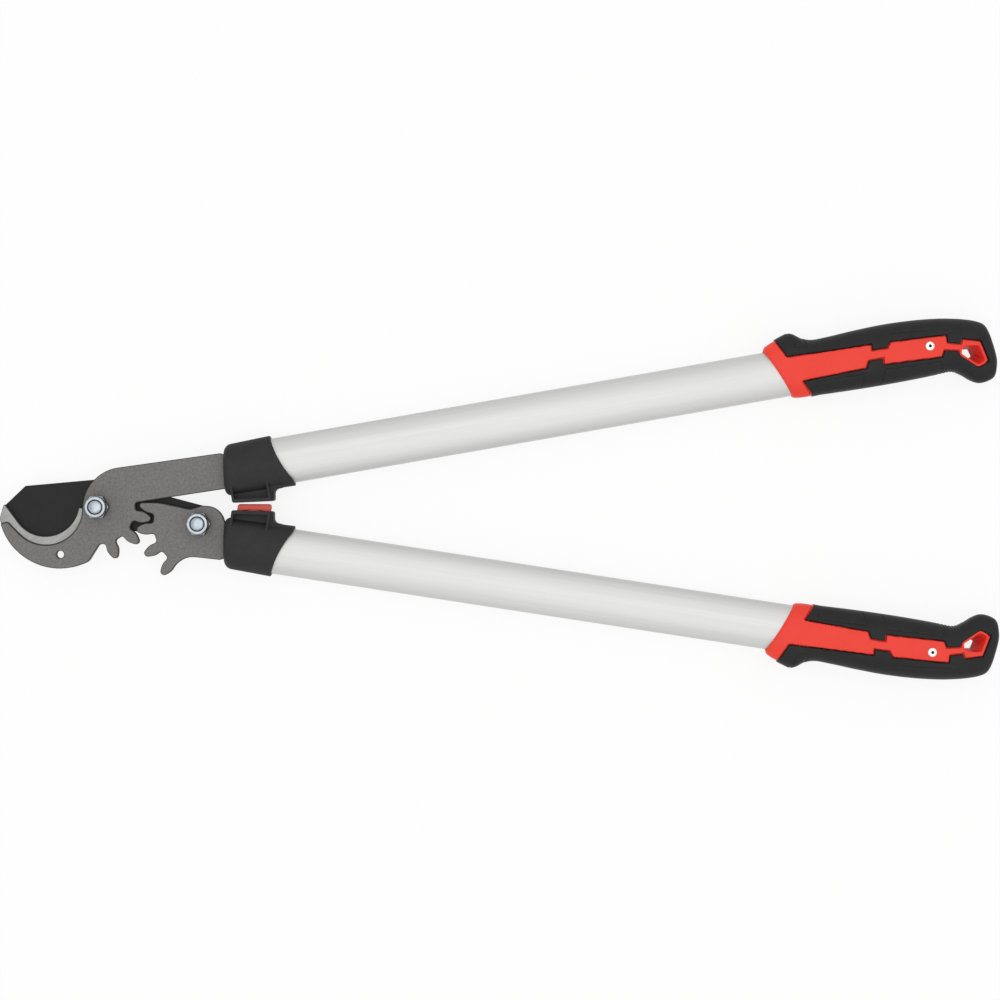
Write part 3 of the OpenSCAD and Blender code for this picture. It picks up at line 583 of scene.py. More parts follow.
@dataclass(frozen=True)
class HandleFrame:
    """Frame of one handle: u runs along it from its root, v away from the other handle and w up.

    The root and the height of the middle plane are in millimetres, and the splay is in degrees.
    """

    side: Side
    root_x: float
    root_y: float
    splay: float
    mid_z: float

    @property
    def mirrored(self) -> bool:
        """The lower handle is the upper one mirrored."""
        return self.side is Side.LOWER

    @property
    def body(self) -> Body:
        """Body that the handle belongs to."""
        return Body.GEAR if self.mirrored else Body.HOOK

    def place(self, points: np.ndarray) -> np.ndarray:
        """Carries places in the handle's frame into the model's.

        The place is mirrored across u on the lower handle, turned by the splay and moved to the root.

        Args:
            points: Places (u, v, w) in millimetres, any shape by 3.

        Returns:
            The same places in metres.
        """
        turn = math.radians(self.splay)
        u, v, w = np.moveaxis(points, -1, 0)
        v = -v if self.mirrored else v
        return np.stack((self.root_x + u * math.cos(turn) - v * math.sin(turn),
                         self.root_y + u * math.sin(turn) + v * math.cos(turn), self.mid_z + w), -1) * MM

    def local(self, places: np.ndarray) -> np.ndarray:
        """Undoes place, by the inverse turn.

        Args:
            places: Places in metres in the model's frame, any shape by 3.

        Returns:
            The same places (u, v, w) in millimetres.
        """
        turn = math.radians(self.splay)
        x, y, z = np.moveaxis(places / MM - (self.root_x, self.root_y, self.mid_z), -1, 0)
        v = y * math.cos(turn) - x * math.sin(turn)
        return np.stack((x * math.cos(turn) + y * math.sin(turn), -v if self.mirrored else v, z), -1)


@dataclass(frozen=True)
class Tube:
    """Oval aluminium tube of a handle."""

    handle: HandleFrame
    width: float = 35.6
    depth: float = 22.0
    wall: float = 1.5
    start: float = 4.5
    end: float = 544.0
    edge: float = 0.3
    power: float = 2.1
    rows: int = 60
    bore_rows: int = 3
    columns: int = 128

    def build(self) -> bpy.types.Object:
        """Carries a wall profile round an oval: outside, rounded end, inside and back.

        Returns:
            The dressed tube.
        """
        run = np.linspace(self.start + self.edge, self.end - self.edge, self.rows)
        back = run[::-(self.rows // self.bore_rows)]
        along = np.concatenate((run, [self.end, self.end], back, [self.start, self.start]))
        inset = np.concatenate((np.zeros(self.rows), [self.edge, self.wall], np.full(len(back), self.wall),
                                [self.wall, self.edge]))
        shell = Shell()
        shell.add(oval_rings(along, 0.0, self.width / 2 - inset, self.depth / 2 - inset, self.power,
                             self.columns), close_rows=True)
        name = self.handle.side.value
        finish = replace(SATIN_ALUMINIUM, name=f"{SATIN_ALUMINIUM.name}_{name}", turn=self.handle.splay)
        return shell.build(f"{name}_drawn_tube", self.handle, finish, f"{name}_tube")


@dataclass(frozen=True)
class Ferrule:
    """Black ferrule over a tube's mouth, with a hollow stop bracket on its inner side."""

    handle: HandleFrame
    socket_v: float = 17.9
    socket_w: float = 11.1
    wall: float = 2.2
    flare: float = 0.9
    front: float = -0.3
    length: float = 43.0
    power: float = 2.1
    # Nose and rear edge: slopes of their planes, roundings, and how the rear edge bows and is blunted
    front_slope: float = 0.14
    rear_slope: float = -0.363
    front_round: float = 5.5
    rear_round: float = 0.8
    rear_bow: float = 2.4
    rear_blunt: float = 1.8
    blunt_from: float = 0.7
    # Slot for the tang in the nose
    slot_v: float = 13.0
    slot_w: float = 2.45
    slot_power: float = 12.0
    # Stop bracket, its pocket and the web behind it. The foot is buried in the sleeve.
    bracket_from: float = 2.4
    bracket_len: float = 32.0
    bracket_depth: float = 19.5
    bracket_face: float = 24.87
    bracket_slope: float = 0.127
    bracket_wall: float = 2.0
    bracket_face_wall: float = 3.0
    bracket_heel: float = 5.0
    bracket_tip: float = 1.4
    bracket_foot: float = 11.0
    pocket_depth: float = 6.0
    web_len: float = 6.0
    web_depth: float = 13.0
    web_fillet: float = 4.0
    web_lift: float = 0.15
    # Rounded corners in plan, rounded edges, and a flat ring inside each edge that keeps the shading even
    corner: float = 1.7
    bead: float = 0.9
    edge: float = 0.6
    flat: float = 0.855
    sharp: float = 50.0
    nose_rows: int = 12
    body_rows: int = 24
    edge_rows: int = 5
    corner_steps: int = 8
    web_steps: int = 12
    columns: int = 160

    def face(self, u: float) -> float:
        """v of the stop bracket's face at a place along the handle."""
        return -self.bracket_face - self.bracket_slope * (u - self.bracket_from)

    def trim(self, rings: np.ndarray) -> np.ndarray:
        """Bows the rear edge and blunts its point.

        u gains a parabola that is zero at the middle of v, and loses the square of a soft step at the inner
        end of v.

        Args:
            rings: Rings at the rear, in their sloped planes.

        Returns:
            The same rings with u shifted.
        """
        across = rings[..., 1:2] / (self.socket_v + self.wall)
        point = smoothstep((-across - self.blunt_from) / (1 - self.blunt_from))
        shift = self.rear_bow * across**2 - self.rear_blunt * point**2
        return np.concatenate((rings[..., :1] + shift, rings[..., 1:]), -1)

    def sleeve(self) -> np.ndarray:
        """Closed sleeve: rounded nose, flared body, rounded rear, bore, and the tang's slot in the nose.

        Each ring is an oval in a sloped plane; a quarter turn draws the nose and the rear in, and straight
        lines join the last ring of the nose to the first of the rear.

        Returns:
            Rings by columns by 3.
        """
        half_v, half_w = self.socket_v + self.wall, self.socket_w + self.wall
        rear_at, bore_end = self.front + self.length, self.front + self.front_round
        cos, sin = quarter(self.nose_rows)
        drawn = self.flare + self.front_round * (1 - sin)
        nose = oval_rings(self.front + self.front_round * (1 - cos), self.front_slope, half_v - drawn,
                          half_w - drawn, self.power, self.columns)
        cos, sin = quarter(self.edge_rows)
        drawn = self.rear_round * (1 - cos)
        rear = self.trim(oval_rings(rear_at - self.rear_round * (1 - sin), self.rear_slope, half_v - drawn,
                                    half_w - drawn, self.power, self.columns))
        share = np.linspace(0, 1, self.body_rows)[1:-1, None, None]
        body = nose[-1:] * (1 - share) + rear[:1] * share
        bore = oval_rings([rear_at, bore_end], [self.rear_slope, 0.0], self.socket_v, self.socket_w,
                          self.power, self.columns)
        bore = np.concatenate((self.trim(bore[:1]), bore[1:]))
        slot = oval_rings([bore_end, self.front], [0.0, self.front_slope], self.slot_v, self.slot_w,
                          self.slot_power, self.columns)
        return np.concatenate((nose, body, rear, bore, slot))

    def bracket(self) -> np.ndarray:
        """Closed stop bracket: a rounded block under the sleeve with a pocket open to the front.

        The block's outline is stacked up from its back to its front face, then the pocket's outline is
        stacked back down to the pocket's floor, each with its edges rounded by a quarter turn.

        Returns:
            Rings by columns by 3.
        """
        start, foot = self.bracket_from, -self.bracket_foot
        near = start + self.bracket_wall
        far = start + self.bracket_len - self.bracket_heel
        heel = far + self.bracket_wall
        block = rounded_outline([
            (start, foot, self.bead), (start, self.face(start), self.corner),
            (heel, self.face(heel), self.corner), (heel, foot, self.bead),
            ((start + heel) / 2, foot + self.edge, self.bead)], self.corner_steps)
        pocket = rounded_outline([
            (near, foot, self.bead), (near, self.face(near) + self.bracket_face_wall, self.bead),
            (far, self.face(far) + self.bracket_face_wall, self.bead), (far, foot, self.bead),
            ((near + far) / 2, foot + self.edge, self.bead)], self.corner_steps)
        half = self.bracket_depth / 2
        bend = edge_bend(self.edge, self.edge_rows)
        capped = [(self.flat, 0.0), *bend]
        rise = [(inset, drop - half) for inset, drop in capped]
        crest = [(inset, half - drop) for inset, drop in bend[::-1]]
        mouth = [(-inset, half - drop) for inset, drop in bend]
        floor = [(inset, half - self.pocket_depth + drop) for inset, drop in capped[::-1]]
        return np.concatenate((stacked(block, rise + crest), stacked(pocket, mouth + floor)))

    def web(self) -> np.ndarray:
        """Closed web behind the bracket: an outline with a hollow corner, stacked through its depth.

        Returns:
            Rings by columns by 3.
        """
        to = self.bracket_from + self.bracket_len
        start, tip, end = to - self.bracket_heel, to - self.bracket_tip, to + self.web_len
        foot, under = -self.bracket_foot, -self.socket_v - self.wall
        outline = rounded_outline([
            (start, foot, self.bead), (start, self.face(start) + self.web_lift, self.bead),
            (tip, self.face(tip), self.corner), (to, under, self.web_fillet), (end, under, self.bead),
            (end, foot, self.bead)], self.web_steps)
        bend = [(self.flat, 0.0), *edge_bend(self.edge, self.edge_rows)]
        return stacked(outline, both_ends(bend, self.web_depth / 2))

    def build(self) -> bpy.types.Object:
        """Joins sleeve, bracket and web and dresses them.

        Returns:
            The dressed ferrule.
        """
        shell = Shell()
        shell.add(self.sleeve(), close_rows=True)
        for block in (self.bracket(), self.web()):
            shell.add(block, caps=(True, True))
        name = self.handle.side.value
        return shell.build(f"{name}_moulded_ferrule", self.handle, MOULDED_BLACK, f"{name}_ferrule",
                           self.sharp)


@dataclass(frozen=True)
class Bumper:
    """Red rubber bar on the lower bracket that stops the upper one."""

    lower: Ferrule
    upper: Ferrule
    # Start behind the bracket's front end, size, and space to the upper bracket at the front and at the back
    inset: float = 3.6
    length: float = 24.2
    depth: float = 13.0
    gap: float = 1.1
    back_gap: float = 2.3
    corner: float = 2.0
    edge: float = 1.4
    foot_round: float = 0.35
    seat: float = 1.8
    corner_steps: int = 10
    edge_rows: int = 7

    def facing(self, u: float, gap: float) -> float:
        """v at which the bar faces the upper bracket's face, a straight line, across a gap.

        Args:
            u: Place along the lower handle.
            gap: Space left to the upper bracket.

        Returns:
            v in the lower handle's frame.
        """
        ends = np.array([self.upper.bracket_from, self.upper.bracket_from + self.upper.bracket_len])
        line = np.stack((ends, [self.upper.face(end) for end in ends], np.zeros(2)), -1)
        near, far = self.lower.handle.local(self.upper.handle.place(line))
        return gap + near[1] + (far[1] - near[1]) * (u - near[0]) / (far[0] - near[0])

    def build(self) -> bpy.types.Object:
        """Stacks the bar's rounded outline through its depth, both ends rounded by a quarter turn.

        Returns:
            The dressed bumper.
        """
        start = self.lower.bracket_from + self.inset
        end = start + self.length
        outline = rounded_outline([
            (start, self.lower.face(start) + self.seat, self.foot_round),
            (start, self.facing(start, self.gap), self.corner),
            (end, self.facing(end, self.back_gap), self.corner),
            (end, self.lower.face(end) + self.seat, self.foot_round)], self.corner_steps)
        levels = both_ends(edge_bend(self.edge, self.edge_rows), self.depth / 2)
        shell = Shell()
        shell.add(stacked(outline, levels), caps=(True, True))
        return shell.build("rubber_bumper", self.lower.handle, RED_RUBBER, "bumper")


# Each ring of a grip: its outer edge and its inner edge in shares of the grip's length and half width,
# then its half depth as a share
GRIP_RING_SHARES = np.array([
    (0.002, 0.966, 0.099, -0.928, 0.905), (0.014, 1.096, 0.108, -0.99, 0.945),
    (0.052, 1.23, 0.148, -1.024, 0.958), (0.098, 1.36, 0.19, -1.012, 0.96),
    (0.119, 1.394, 0.215, -1.004, 0.962), (0.142, 1.335, 0.242, -1.01, 0.964),
    (0.174, 1.145, 0.275, -1.018, 0.966), (0.22, 1.022, 0.315, -1.028, 0.97),
    (0.29, 1.03, 0.367, -1.038, 0.98), (0.407, 1.09, 0.455, -1.048, 1.0),
    (0.535, 1.124, 0.558, -1.048, 1.0), (0.66, 1.09, 0.66, -1.034, 1.0),
    (0.767, 1.005, 0.744, -1.01, 0.98), (0.843, 0.895, 0.797, -1.005, 0.938),
    (0.895, 0.79, 0.837, -1.18, 0.9), (0.936, 0.675, 0.872, -1.42, 0.862),
    (0.968, 0.52, 0.907, -1.567, 0.79), (0.984, 0.265, 0.948, -1.553, 0.69),
    (0.993, -0.145, 0.98, -1.418, 0.55), (0.999, -0.577, 0.996, -1.058, 0.345),
    (1.0, -0.7, 1.0, -0.86, 0.14)])

# Red face of a grip as shares of the grip's length and half width
RED_FACE_SHARES = np.array([
    (-0.06, 1.6), (0.034, 1.6), (0.0555, 1.19), (0.085, 0.59), (0.0906, 0.53), (0.0994, 0.508),
    (0.458, 0.436), (0.455, 0.212), (0.527, 0.202), (0.544, 0.404), (0.784, 0.303), (0.783, 0.029),
    (0.845, -0.12), (0.855, 0.058), (0.93, -0.11), (0.952, -0.837), (0.907, -0.971), (0.833, -0.423),
    (0.831, -0.292), (0.766, -0.177), (0.752, -0.409), (0.502, -0.317), (0.506, -0.082), (0.435, -0.082),
    (0.42, -0.337), (0.147, -0.399), (0.14, -0.437), (0.174, -1.01), (0.2, -1.45), (-0.06, -1.45)])

# Hanging hole of a grip in the same shares
HANG_HOLE_SHARES = np.array([
    (0.86, -0.168), (0.921, -0.24), (0.938, -0.817), (0.905, -0.904), (0.84, -0.433), (0.844, -0.288)])

# Place towards which the hanging hole narrows
HOLE_CENTRE_SHARES = np.array([0.88, -0.303])

# Rings of the hanging hole's flange, from its buried edge to the tunnel: growth of the hole's outline and
# height over the near face, then the share of that outline in the far ring and its height over the far face
RIM_RINGS = np.array([
    (1.9, -1.0, 1.0, -1.0), (1.75, -0.2, 1.0, -0.2), (1.5, 0.12, 1.0, 0.12), (0.6, 0.12, 0.7, 0.12),
    (0.3, 0.05, 0.4, 0.12), (0.1, -0.15, 0.1, 0.0), (0.0, -0.5, 0.0, -0.5)])

# Grooves moulded into the overmould, as broken lines in the same shares
GROOVE_SHARES = [
    np.array([(0.2, -0.96), (0.2, -0.56), (0.418, -0.54), (0.39, -0.98)]),
    np.array([(0.476, -0.98), (0.505, -0.54), (0.745, -0.6), (0.748, -0.82)]),
    np.array([(0.55, 0.74), (0.79, 0.57), (0.815, 0.36)]),
    np.array([(0.119, 1.36), (0.136, 0.86), (0.185, 0.76), (0.176, 1.1)])]


@dataclass(frozen=True)
class Grip:
    """Grip of a handle: red core, soft black overmould and a hanging hole."""

    handle: HandleFrame
    reach: float = 584.0
    length: float = 172.0
    half: float = 20.8
    depth: float = 14.6
    power: float = 2.4
    # Depths of the overmould and of the core's face under the grip's outside. Drawing in also shortens the
    # grip past a share of its length, and leaves at least a share of each ring.
    skin_drop: float = 0.15
    face_drop: float = 0.95
    end_from: float = 0.9
    least: float = 0.25
    # Collar: bore for the tube, and a rounded front lip that ends a little behind the first ring's plane
    bore_v: float = 17.85
    bore_w: float = 11.05
    bore_len: float = 24.0
    tube_power: float = 2.1
    lip: float = 0.9
    lip_back: float = 0.3
    # Seam: the overmould sinks under the red face over a width, and a narrow groove parts the two. Both lie
    # a little outside the red face.
    sink: float = 3.0
    seam: float = 0.9
    seam_out: float = 0.8
    parting_depth: float = 1.5
    parting_half: float = 0.5
    parting_out: float = 0.45
    # Grooves and finger ribs of the overmould, which together go no deeper than the limit
    relief_limit: float = 0.6
    groove_depth: float = 0.5
    groove_half: float = 0.55
    rib_from: float = 0.728
    rib_to: float = 0.83
    rib_v_share: float = -0.62
    rib_pitch: float = 2.6
    rib_depth: float = 0.45
    rib_lean: float = 0.5
    rib_fade: float = 2.0
    # Hanging hole: rounding in plan, share by which it narrows, and margin cut out of the skins round it
    hole_round: float = 1.9
    hole_taper: float = 0.51
    hole_cut: float = 0.9
    hole_steps: int = 9
    tunnel_rows: int = 10
    # Grids: rings, points in a ring with the weight of its sides, and finer ones to look sizes up in
    rows: int = 436
    core_rows: int = 420
    columns: int = 220
    side_weight: float = 0.35
    lip_rows: int = 6
    span_steps: int = 60
    angle_steps: int = 4001
    height_rows: int = 1600

    def places(self, shares: np.ndarray) -> np.ndarray:
        """Places (u, v) from shares of the grip's length and half width."""
        return np.array([self.reach - self.length, 0]) + shares * (self.length, self.half)

    def rails(self, rows: int) -> np.ndarray:
        """Ring sizes all along the grip: a Catmull-Rom curve through the ring table.

        Between two table rows the curve is the cubic that takes its slopes from the rows on either side,
        held to the grip's full length and depth. Rings are then spaced evenly along its middle line.

        Args:
            rows: Rings wanted.

        Returns:
            Ring sizes, rows by 5, in shares.
        """
        table = np.concatenate((2 * GRIP_RING_SHARES[:1] - GRIP_RING_SHARES[1:2], GRIP_RING_SHARES,
                                2 * GRIP_RING_SHARES[-1:] - GRIP_RING_SHARES[-2:-1]))
        spans = len(GRIP_RING_SHARES) - 1
        at = np.linspace(0, spans, self.span_steps * spans + 1)
        first = np.minimum(at.astype(int), spans - 1)
        t = (at - first)[:, None]
        a, b, c, d = (table[first + k] for k in range(4))
        fine = (2 * b + (c - a) * t + (2 * a - 5 * b + 4 * c - d) * t**2
                + (3 * b - a - 3 * c + d) * t**3) / 2
        fine[:, ::2] = np.minimum(fine[:, ::2], 1)
        middle = np.stack((fine[:, [0, 2]].mean(1) * self.length, fine[:, [1, 3]].mean(1) * self.half), -1)
        walk = np.concatenate(([0], np.cumsum(np.linalg.norm(np.diff(middle, axis=0), axis=1))))
        even = np.interp(np.linspace(0, walk[-1], rows), walk, at)
        return np.stack([np.interp(even, at, column) for column in fine.T], -1)

    def frame_of(self, rails: np.ndarray, drawn: float) -> tuple[np.ndarray, ...]:
        """Middle, lean, half width and half depth of each ring, drawn in by a depth.

        Args:
            rails: Ring sizes in shares.
            drawn: Depth by which the rings are drawn in.

        Returns:
            Middle u, middle v, lean of u, half width and half depth, one of each per ring.
        """
        top_u, top_v, low_u, low_v, deep = rails.T
        tall = (top_v - low_v) / 2 * self.half
        keep = np.maximum(tall - drawn, tall * self.least) / tall
        end = smoothstep(((top_u + low_u) / 2 - self.end_from) / (1 - self.end_from))
        full = deep * self.depth
        return (self.reach - self.length + (top_u + low_u) / 2 * self.length - drawn * end,
                (top_v + low_v) / 2 * self.half, (top_u - low_u) / 2 * self.length * keep,
                tall * keep, np.maximum(full - drawn, full * self.least))

    def angles(self, columns: int) -> np.ndarray:
        """Angles of a ring's points, closer together on its broad faces, where the seams run.

        The points are even along a walk round the ring that counts each step's run across a face in full
        and its rise at the side by a weight.

        Args:
            columns: Points in a ring.

        Returns:
            Angles in radians.
        """
        fine = np.linspace(0, 2 * np.pi, self.angle_steps)
        c, s = superellipse(fine, self.power)
        step = np.abs(np.diff(c)) * self.half + self.side_weight * np.abs(np.diff(s)) * self.depth
        walk = np.concatenate(([0], np.cumsum(step)))
        return np.interp(np.linspace(0, walk[-1], columns, endpoint=False), walk, fine)

    def skin(self, drawn: float, rows: int, columns: int) -> np.ndarray:
        """Grip surface drawn in by a depth: leaning superellipses along the rails.

        Args:
            drawn: Depth by which the rings are drawn in.
            rows: Rings wanted.
            columns: Points in a ring.

        Returns:
            Rings by columns by 3.
        """
        mid_u, mid_v, lean, half, deep = (x[:, None] for x in self.frame_of(self.rails(rows), drawn))
        c, s = superellipse(self.angles(columns)[None], self.power)
        return np.stack((mid_u + lean * c, mid_v + half * c, deep * s), -1)

    def height(self, plan: np.ndarray, drawn: float) -> np.ndarray:
        """Half depth of the drawn-in surface over places in plan.

        For each place, the ring whose line in plan passes nearest to it along u is found, and the ring's
        superellipse then gives the depth.

        Args:
            plan: Places (u, v), n by 2.
            drawn: Depth by which the surface is drawn in.

        Returns:
            Half depths, n.
        """
        mid_u, mid_v, lean, half, deep = self.frame_of(self.rails(self.height_rows), drawn)
        across = np.clip((plan[:, 1:] - mid_v) / half, -1, 1)
        best = np.abs(mid_u + lean * across - plan[:, :1]).argmin(1)
        x = np.abs(across[np.arange(len(plan)), best])
        return deep[best] * (1 - x**self.power) ** (1 / self.power)

    def seam_gap(self, plan: np.ndarray) -> np.ndarray:
        """Distance from the seam between red and black, negative on the red face."""
        red = self.places(RED_FACE_SHARES)
        return outline_distance(plan, red) * np.where(inside(plan, red), -1, 1)

    def relief(self, plan: np.ndarray) -> np.ndarray:
        """Height of the overmould over its plain skin: grooves, finger ribs, and the step to the red face.

        A groove is a rounded valley along a broken line. The ribs are a cosine wave along a leaning axis,
        faded in and out by soft steps. Inside the red face the overmould sinks out of sight under it.

        Args:
            plan: Places (u, v), any shape by 2.

        Returns:
            Heights in millimetres.
        """
        height = np.zeros(plan.shape[:-1])
        for shares in GROOVE_SHARES:
            away = outline_distance(plan, self.places(shares), closed=False)
            height -= self.groove_depth * valley(away, self.groove_half)
        share = (plan - self.places(np.zeros(2))) / (self.length, self.half)
        field = (smoothstep((share[..., 0] - self.rib_from) * self.length / self.rib_fade)
                 * smoothstep((self.rib_to - share[..., 0]) * self.length / self.rib_fade)
                 * smoothstep((self.rib_v_share - share[..., 1]) * self.half / self.rib_fade))
        wave = np.cos(2 * np.pi * (plan[..., 0] - self.rib_lean * plan[..., 1]) / self.rib_pitch)
        height -= field * self.rib_depth * (0.5 - 0.5 * wave)
        fall = smoothstep((self.seam_gap(plan) - self.seam_out) / self.seam + 0.5) - 1
        return np.maximum(height, -self.relief_limit) + self.sink * fall

    def parting(self, grid: np.ndarray) -> np.ndarray:
        """Height of the core over its plain skin: a narrow groove along the seam.

        The groove fades out by a soft step at the grip's sides, where the surface nears its middle plane.

        Args:
            grid: Points of the core's skin, any shape by 3.

        Returns:
            Heights in millimetres.
        """
        away = np.abs(self.seam_gap(grid[..., :2]) - self.parting_out)
        fade = smoothstep(2 * np.abs(grid[..., 2]) / self.depth)
        return -self.parting_depth * valley(away, self.parting_half) * fade

    def raised(self, grid: np.ndarray, height: np.ndarray) -> np.ndarray:
        """Surface moved along its normals, the cross products of the steps round and along it.

        Args:
            grid: Rings by columns by 3.
            height: Height to add at each point.

        Returns:
            The moved points.
        """
        normal = np.cross(np.roll(grid, -1, 1) - np.roll(grid, 1, 1), np.gradient(grid, axis=0))
        normal /= np.maximum(np.linalg.norm(normal, axis=-1, keepdims=True), TINY)
        return grid + normal * height[..., None]

    def whole(self, grid: np.ndarray) -> np.ndarray:
        """Tells which quads stay clear of the hanging hole and of the margin cut round it.

        Args:
            grid: Rings by columns by 3.

        Returns:
            A flat mask of the grid's quads.
        """
        hole = self.places(HANG_HOLE_SHARES)
        rows, columns = grid.shape[:2]
        centre = grid.reshape(-1, 3)[grid_quads(rows, columns, False)].mean(1)[:, :2]
        return ~inside(centre, hole) & (outline_distance(centre, hole) > self.hole_cut)

    def overmould(self) -> bpy.types.Object:
        """Skin of the grip raised by its relief, with the hanging hole left out.

        Returns:
            The dressed overmould.
        """
        grid = self.skin(self.skin_drop, self.rows, self.columns)
        shell = Shell()
        shell.add(self.raised(grid, self.relief(grid[..., :2])), caps=(True, True), keep=self.whole(grid))
        name = self.handle.side.value
        return shell.build(f"{name}_soft_overmould", self.handle, SOFT_BLACK, f"{name}_grip_overmould")

    def collar(self, first: np.ndarray) -> np.ndarray:
        """Rings that turn the core's front edge in to the tube and run back along its bore.

        The front edge is rounded by a quarter turn, and each ring lies in the sloped plane of the first.

        Args:
            first: First ring of the core's skin.

        Returns:
            Rings by columns by 3, from the bore's end to the skin.
        """
        middle = first.mean(0)
        top, low = first[first[:, 1].argmax()], first[first[:, 1].argmin()]
        slope = (top[0] - low[0]) / (top[1] - low[1])
        half = (first - middle)[:, 1:]
        size = np.abs(half).max(0)
        cos, sin = quarter(self.lip_rows)
        shrink = 1 - self.lip * (1 - sin)[:, None, None] / size
        lip = middle[1:] + half * shrink
        lip_u = middle[0] + slope * (lip[..., 0] - middle[1]) - self.lip * cos[:, None] + self.lip_back
        lip = np.concatenate((lip_u[..., None], lip), -1)
        front = middle[0] - slope * middle[1] - self.lip + self.lip_back
        bore = oval_rings([front + self.bore_len, front], [0.0, slope], self.bore_v, self.bore_w,
                          self.tube_power, len(first))
        return np.concatenate((bore, lip))

    def rim(self) -> np.ndarray:
        """Closed flange and tunnel of the hanging hole.

        The hole's rounded outline is grown by each ring's offset and laid on the core's near face. The
        tunnel runs straight to the far face and narrows by a share on the way, and the rings on the far
        face lead from the narrowed outline back out to the grown one.

        Returns:
            Rings by columns by 3.
        """
        corners = [(u, v, self.hole_round) for u, v in self.places(HANG_HOLE_SHARES)]
        points, normals = rounded_outline(corners, self.hole_steps)
        grow, near_lift, share, far_lift = RIM_RINGS.T[..., None, None]
        near = points + normals * grow
        centre = self.places(HOLE_CENTRE_SHARES)
        narrow = centre + (points - centre) * (1 - self.hole_taper)
        far = narrow * (1 - share) + near * share
        rings = []
        for plan, lift, side in ((near, near_lift, 1), (far, far_lift, -1)):
            face = self.height(plan.reshape(-1, 2), self.face_drop).reshape(*plan.shape[:2], 1)
            rings.append(np.concatenate((plan, side * (face + lift)), -1))
        run = np.linspace(0, 1, self.tunnel_rows)[1:-1, None, None]
        tunnel = rings[0][-1:] * (1 - run) + rings[1][-1:] * run
        return np.concatenate((rings[0], tunnel, rings[1][::-1]))

    def core(self) -> bpy.types.Object:
        """Red core: collar, face under the overmould with its parting groove, and the hanging hole's rim.

        Returns:
            The dressed core.
        """
        grid = self.skin(self.face_drop, self.core_rows, self.columns)
        keep = self.whole(np.concatenate((self.collar(grid[0]), grid[1:])))
        grid = self.raised(grid, self.parting(grid))
        shell = Shell()
        shell.add(np.concatenate((self.collar(grid[0]), grid[1:])), caps=(True, True), keep=keep)
        shell.add(self.rim(), close_rows=True)
        name = self.handle.side.value
        return shell.build(f"{name}_red_core", self.handle, RED_PLASTIC, f"{name}_grip_core")

    def build(self) -> None:
        """Builds the core and its overmould."""
        self.core()
        self.overmould()


# Material slots of a steel piece after its main one, and the bevel's value for that of the face beside it
BARE_SLOT = 1
# Slot of the darker finish that paints shade on upright faces
SHADED_WALL_SLOT = 2
AS_FACE = -1


@dataclass(frozen=True)
class Machined:
    """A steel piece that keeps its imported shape, with its edges broken."""

    node: str
    finish: Finish
    body: Body
    edge: float = 0.3
    # Darker finish painted as shade on upright faces, and on the broken edges where asked
    wall: Finish | None = None
    shaded_edges: bool = False
    bare: Finish | None = None
    bare_tilt: tuple[float, float] = (0.0, 0.0)
    bare_height: tuple[float, float] = (0.0, 0.0)
    # Distance within which loose corners merge, degrees within which faces count as one flat, degrees past
    # which an edge is broken, and the most that the normal of an upright face rises
    merge: float = 0.002
    flat_angle: float = 0.3
    sharp: float = 35.0
    upright: float = 0.3
    edge_steps: int = 2

    def build(self) -> bpy.types.Object:
        """Copies the node's mesh, merges its loose triangles, breaks its edges and dresses it.

        Faces whose normal's rise and whose height both fall in the bare ranges get the bare finish, upright
        faces get the wall finish, a darker one that paints shade on them, and so do the broken edges where
        that is asked for.

        Returns:
            The dressed piece.
        """
        mesh = frame["nodes"][self.node].data.copy()
        work = bmesh.new()
        work.from_mesh(mesh)
        bmesh.ops.remove_doubles(work, verts=work.verts, dist=self.merge * MM)
        bmesh.ops.dissolve_limit(work, angle_limit=math.radians(self.flat_angle), verts=work.verts,
                                 edges=work.edges)
        work.to_mesh(mesh)
        work.free()
        piece = smooth_object(f"{self.node}_finished", mesh, self.sharp)
        bevel = piece.modifiers.new("broken_edges", "BEVEL")
        bevel.width = self.edge * MM
        bevel.segments = self.edge_steps
        bevel.limit_method = "ANGLE"
        bevel.angle_limit = math.radians(self.sharp)
        bevel.use_clamp_overlap = False
        bevel.harden_normals = True
        bevel.material = SHADED_WALL_SLOT if self.shaded_edges else AS_FACE
        finishes = [self.finish, self.bare or self.finish, self.wall or self.finish]
        settle(piece, finishes, self.body, self.node)
        rise, height = np.zeros(len(mesh.polygons) * 3), np.zeros(len(mesh.polygons) * 3)
        mesh.polygons.foreach_get("normal", rise)
        mesh.polygons.foreach_get("center", height)
        rise, height = rise[2::3], height[2::3] / MM
        bare = ((rise > self.bare_tilt[0]) & (rise < self.bare_tilt[1])
                & (height > self.bare_height[0]) & (height < self.bare_height[1]))
        slots = np.where(bare, BARE_SLOT, SHADED_WALL_SLOT * (np.abs(rise) < self.upright))
        mesh.polygons.foreach_set("material_index", slots.astype(np.int32))
        return piece


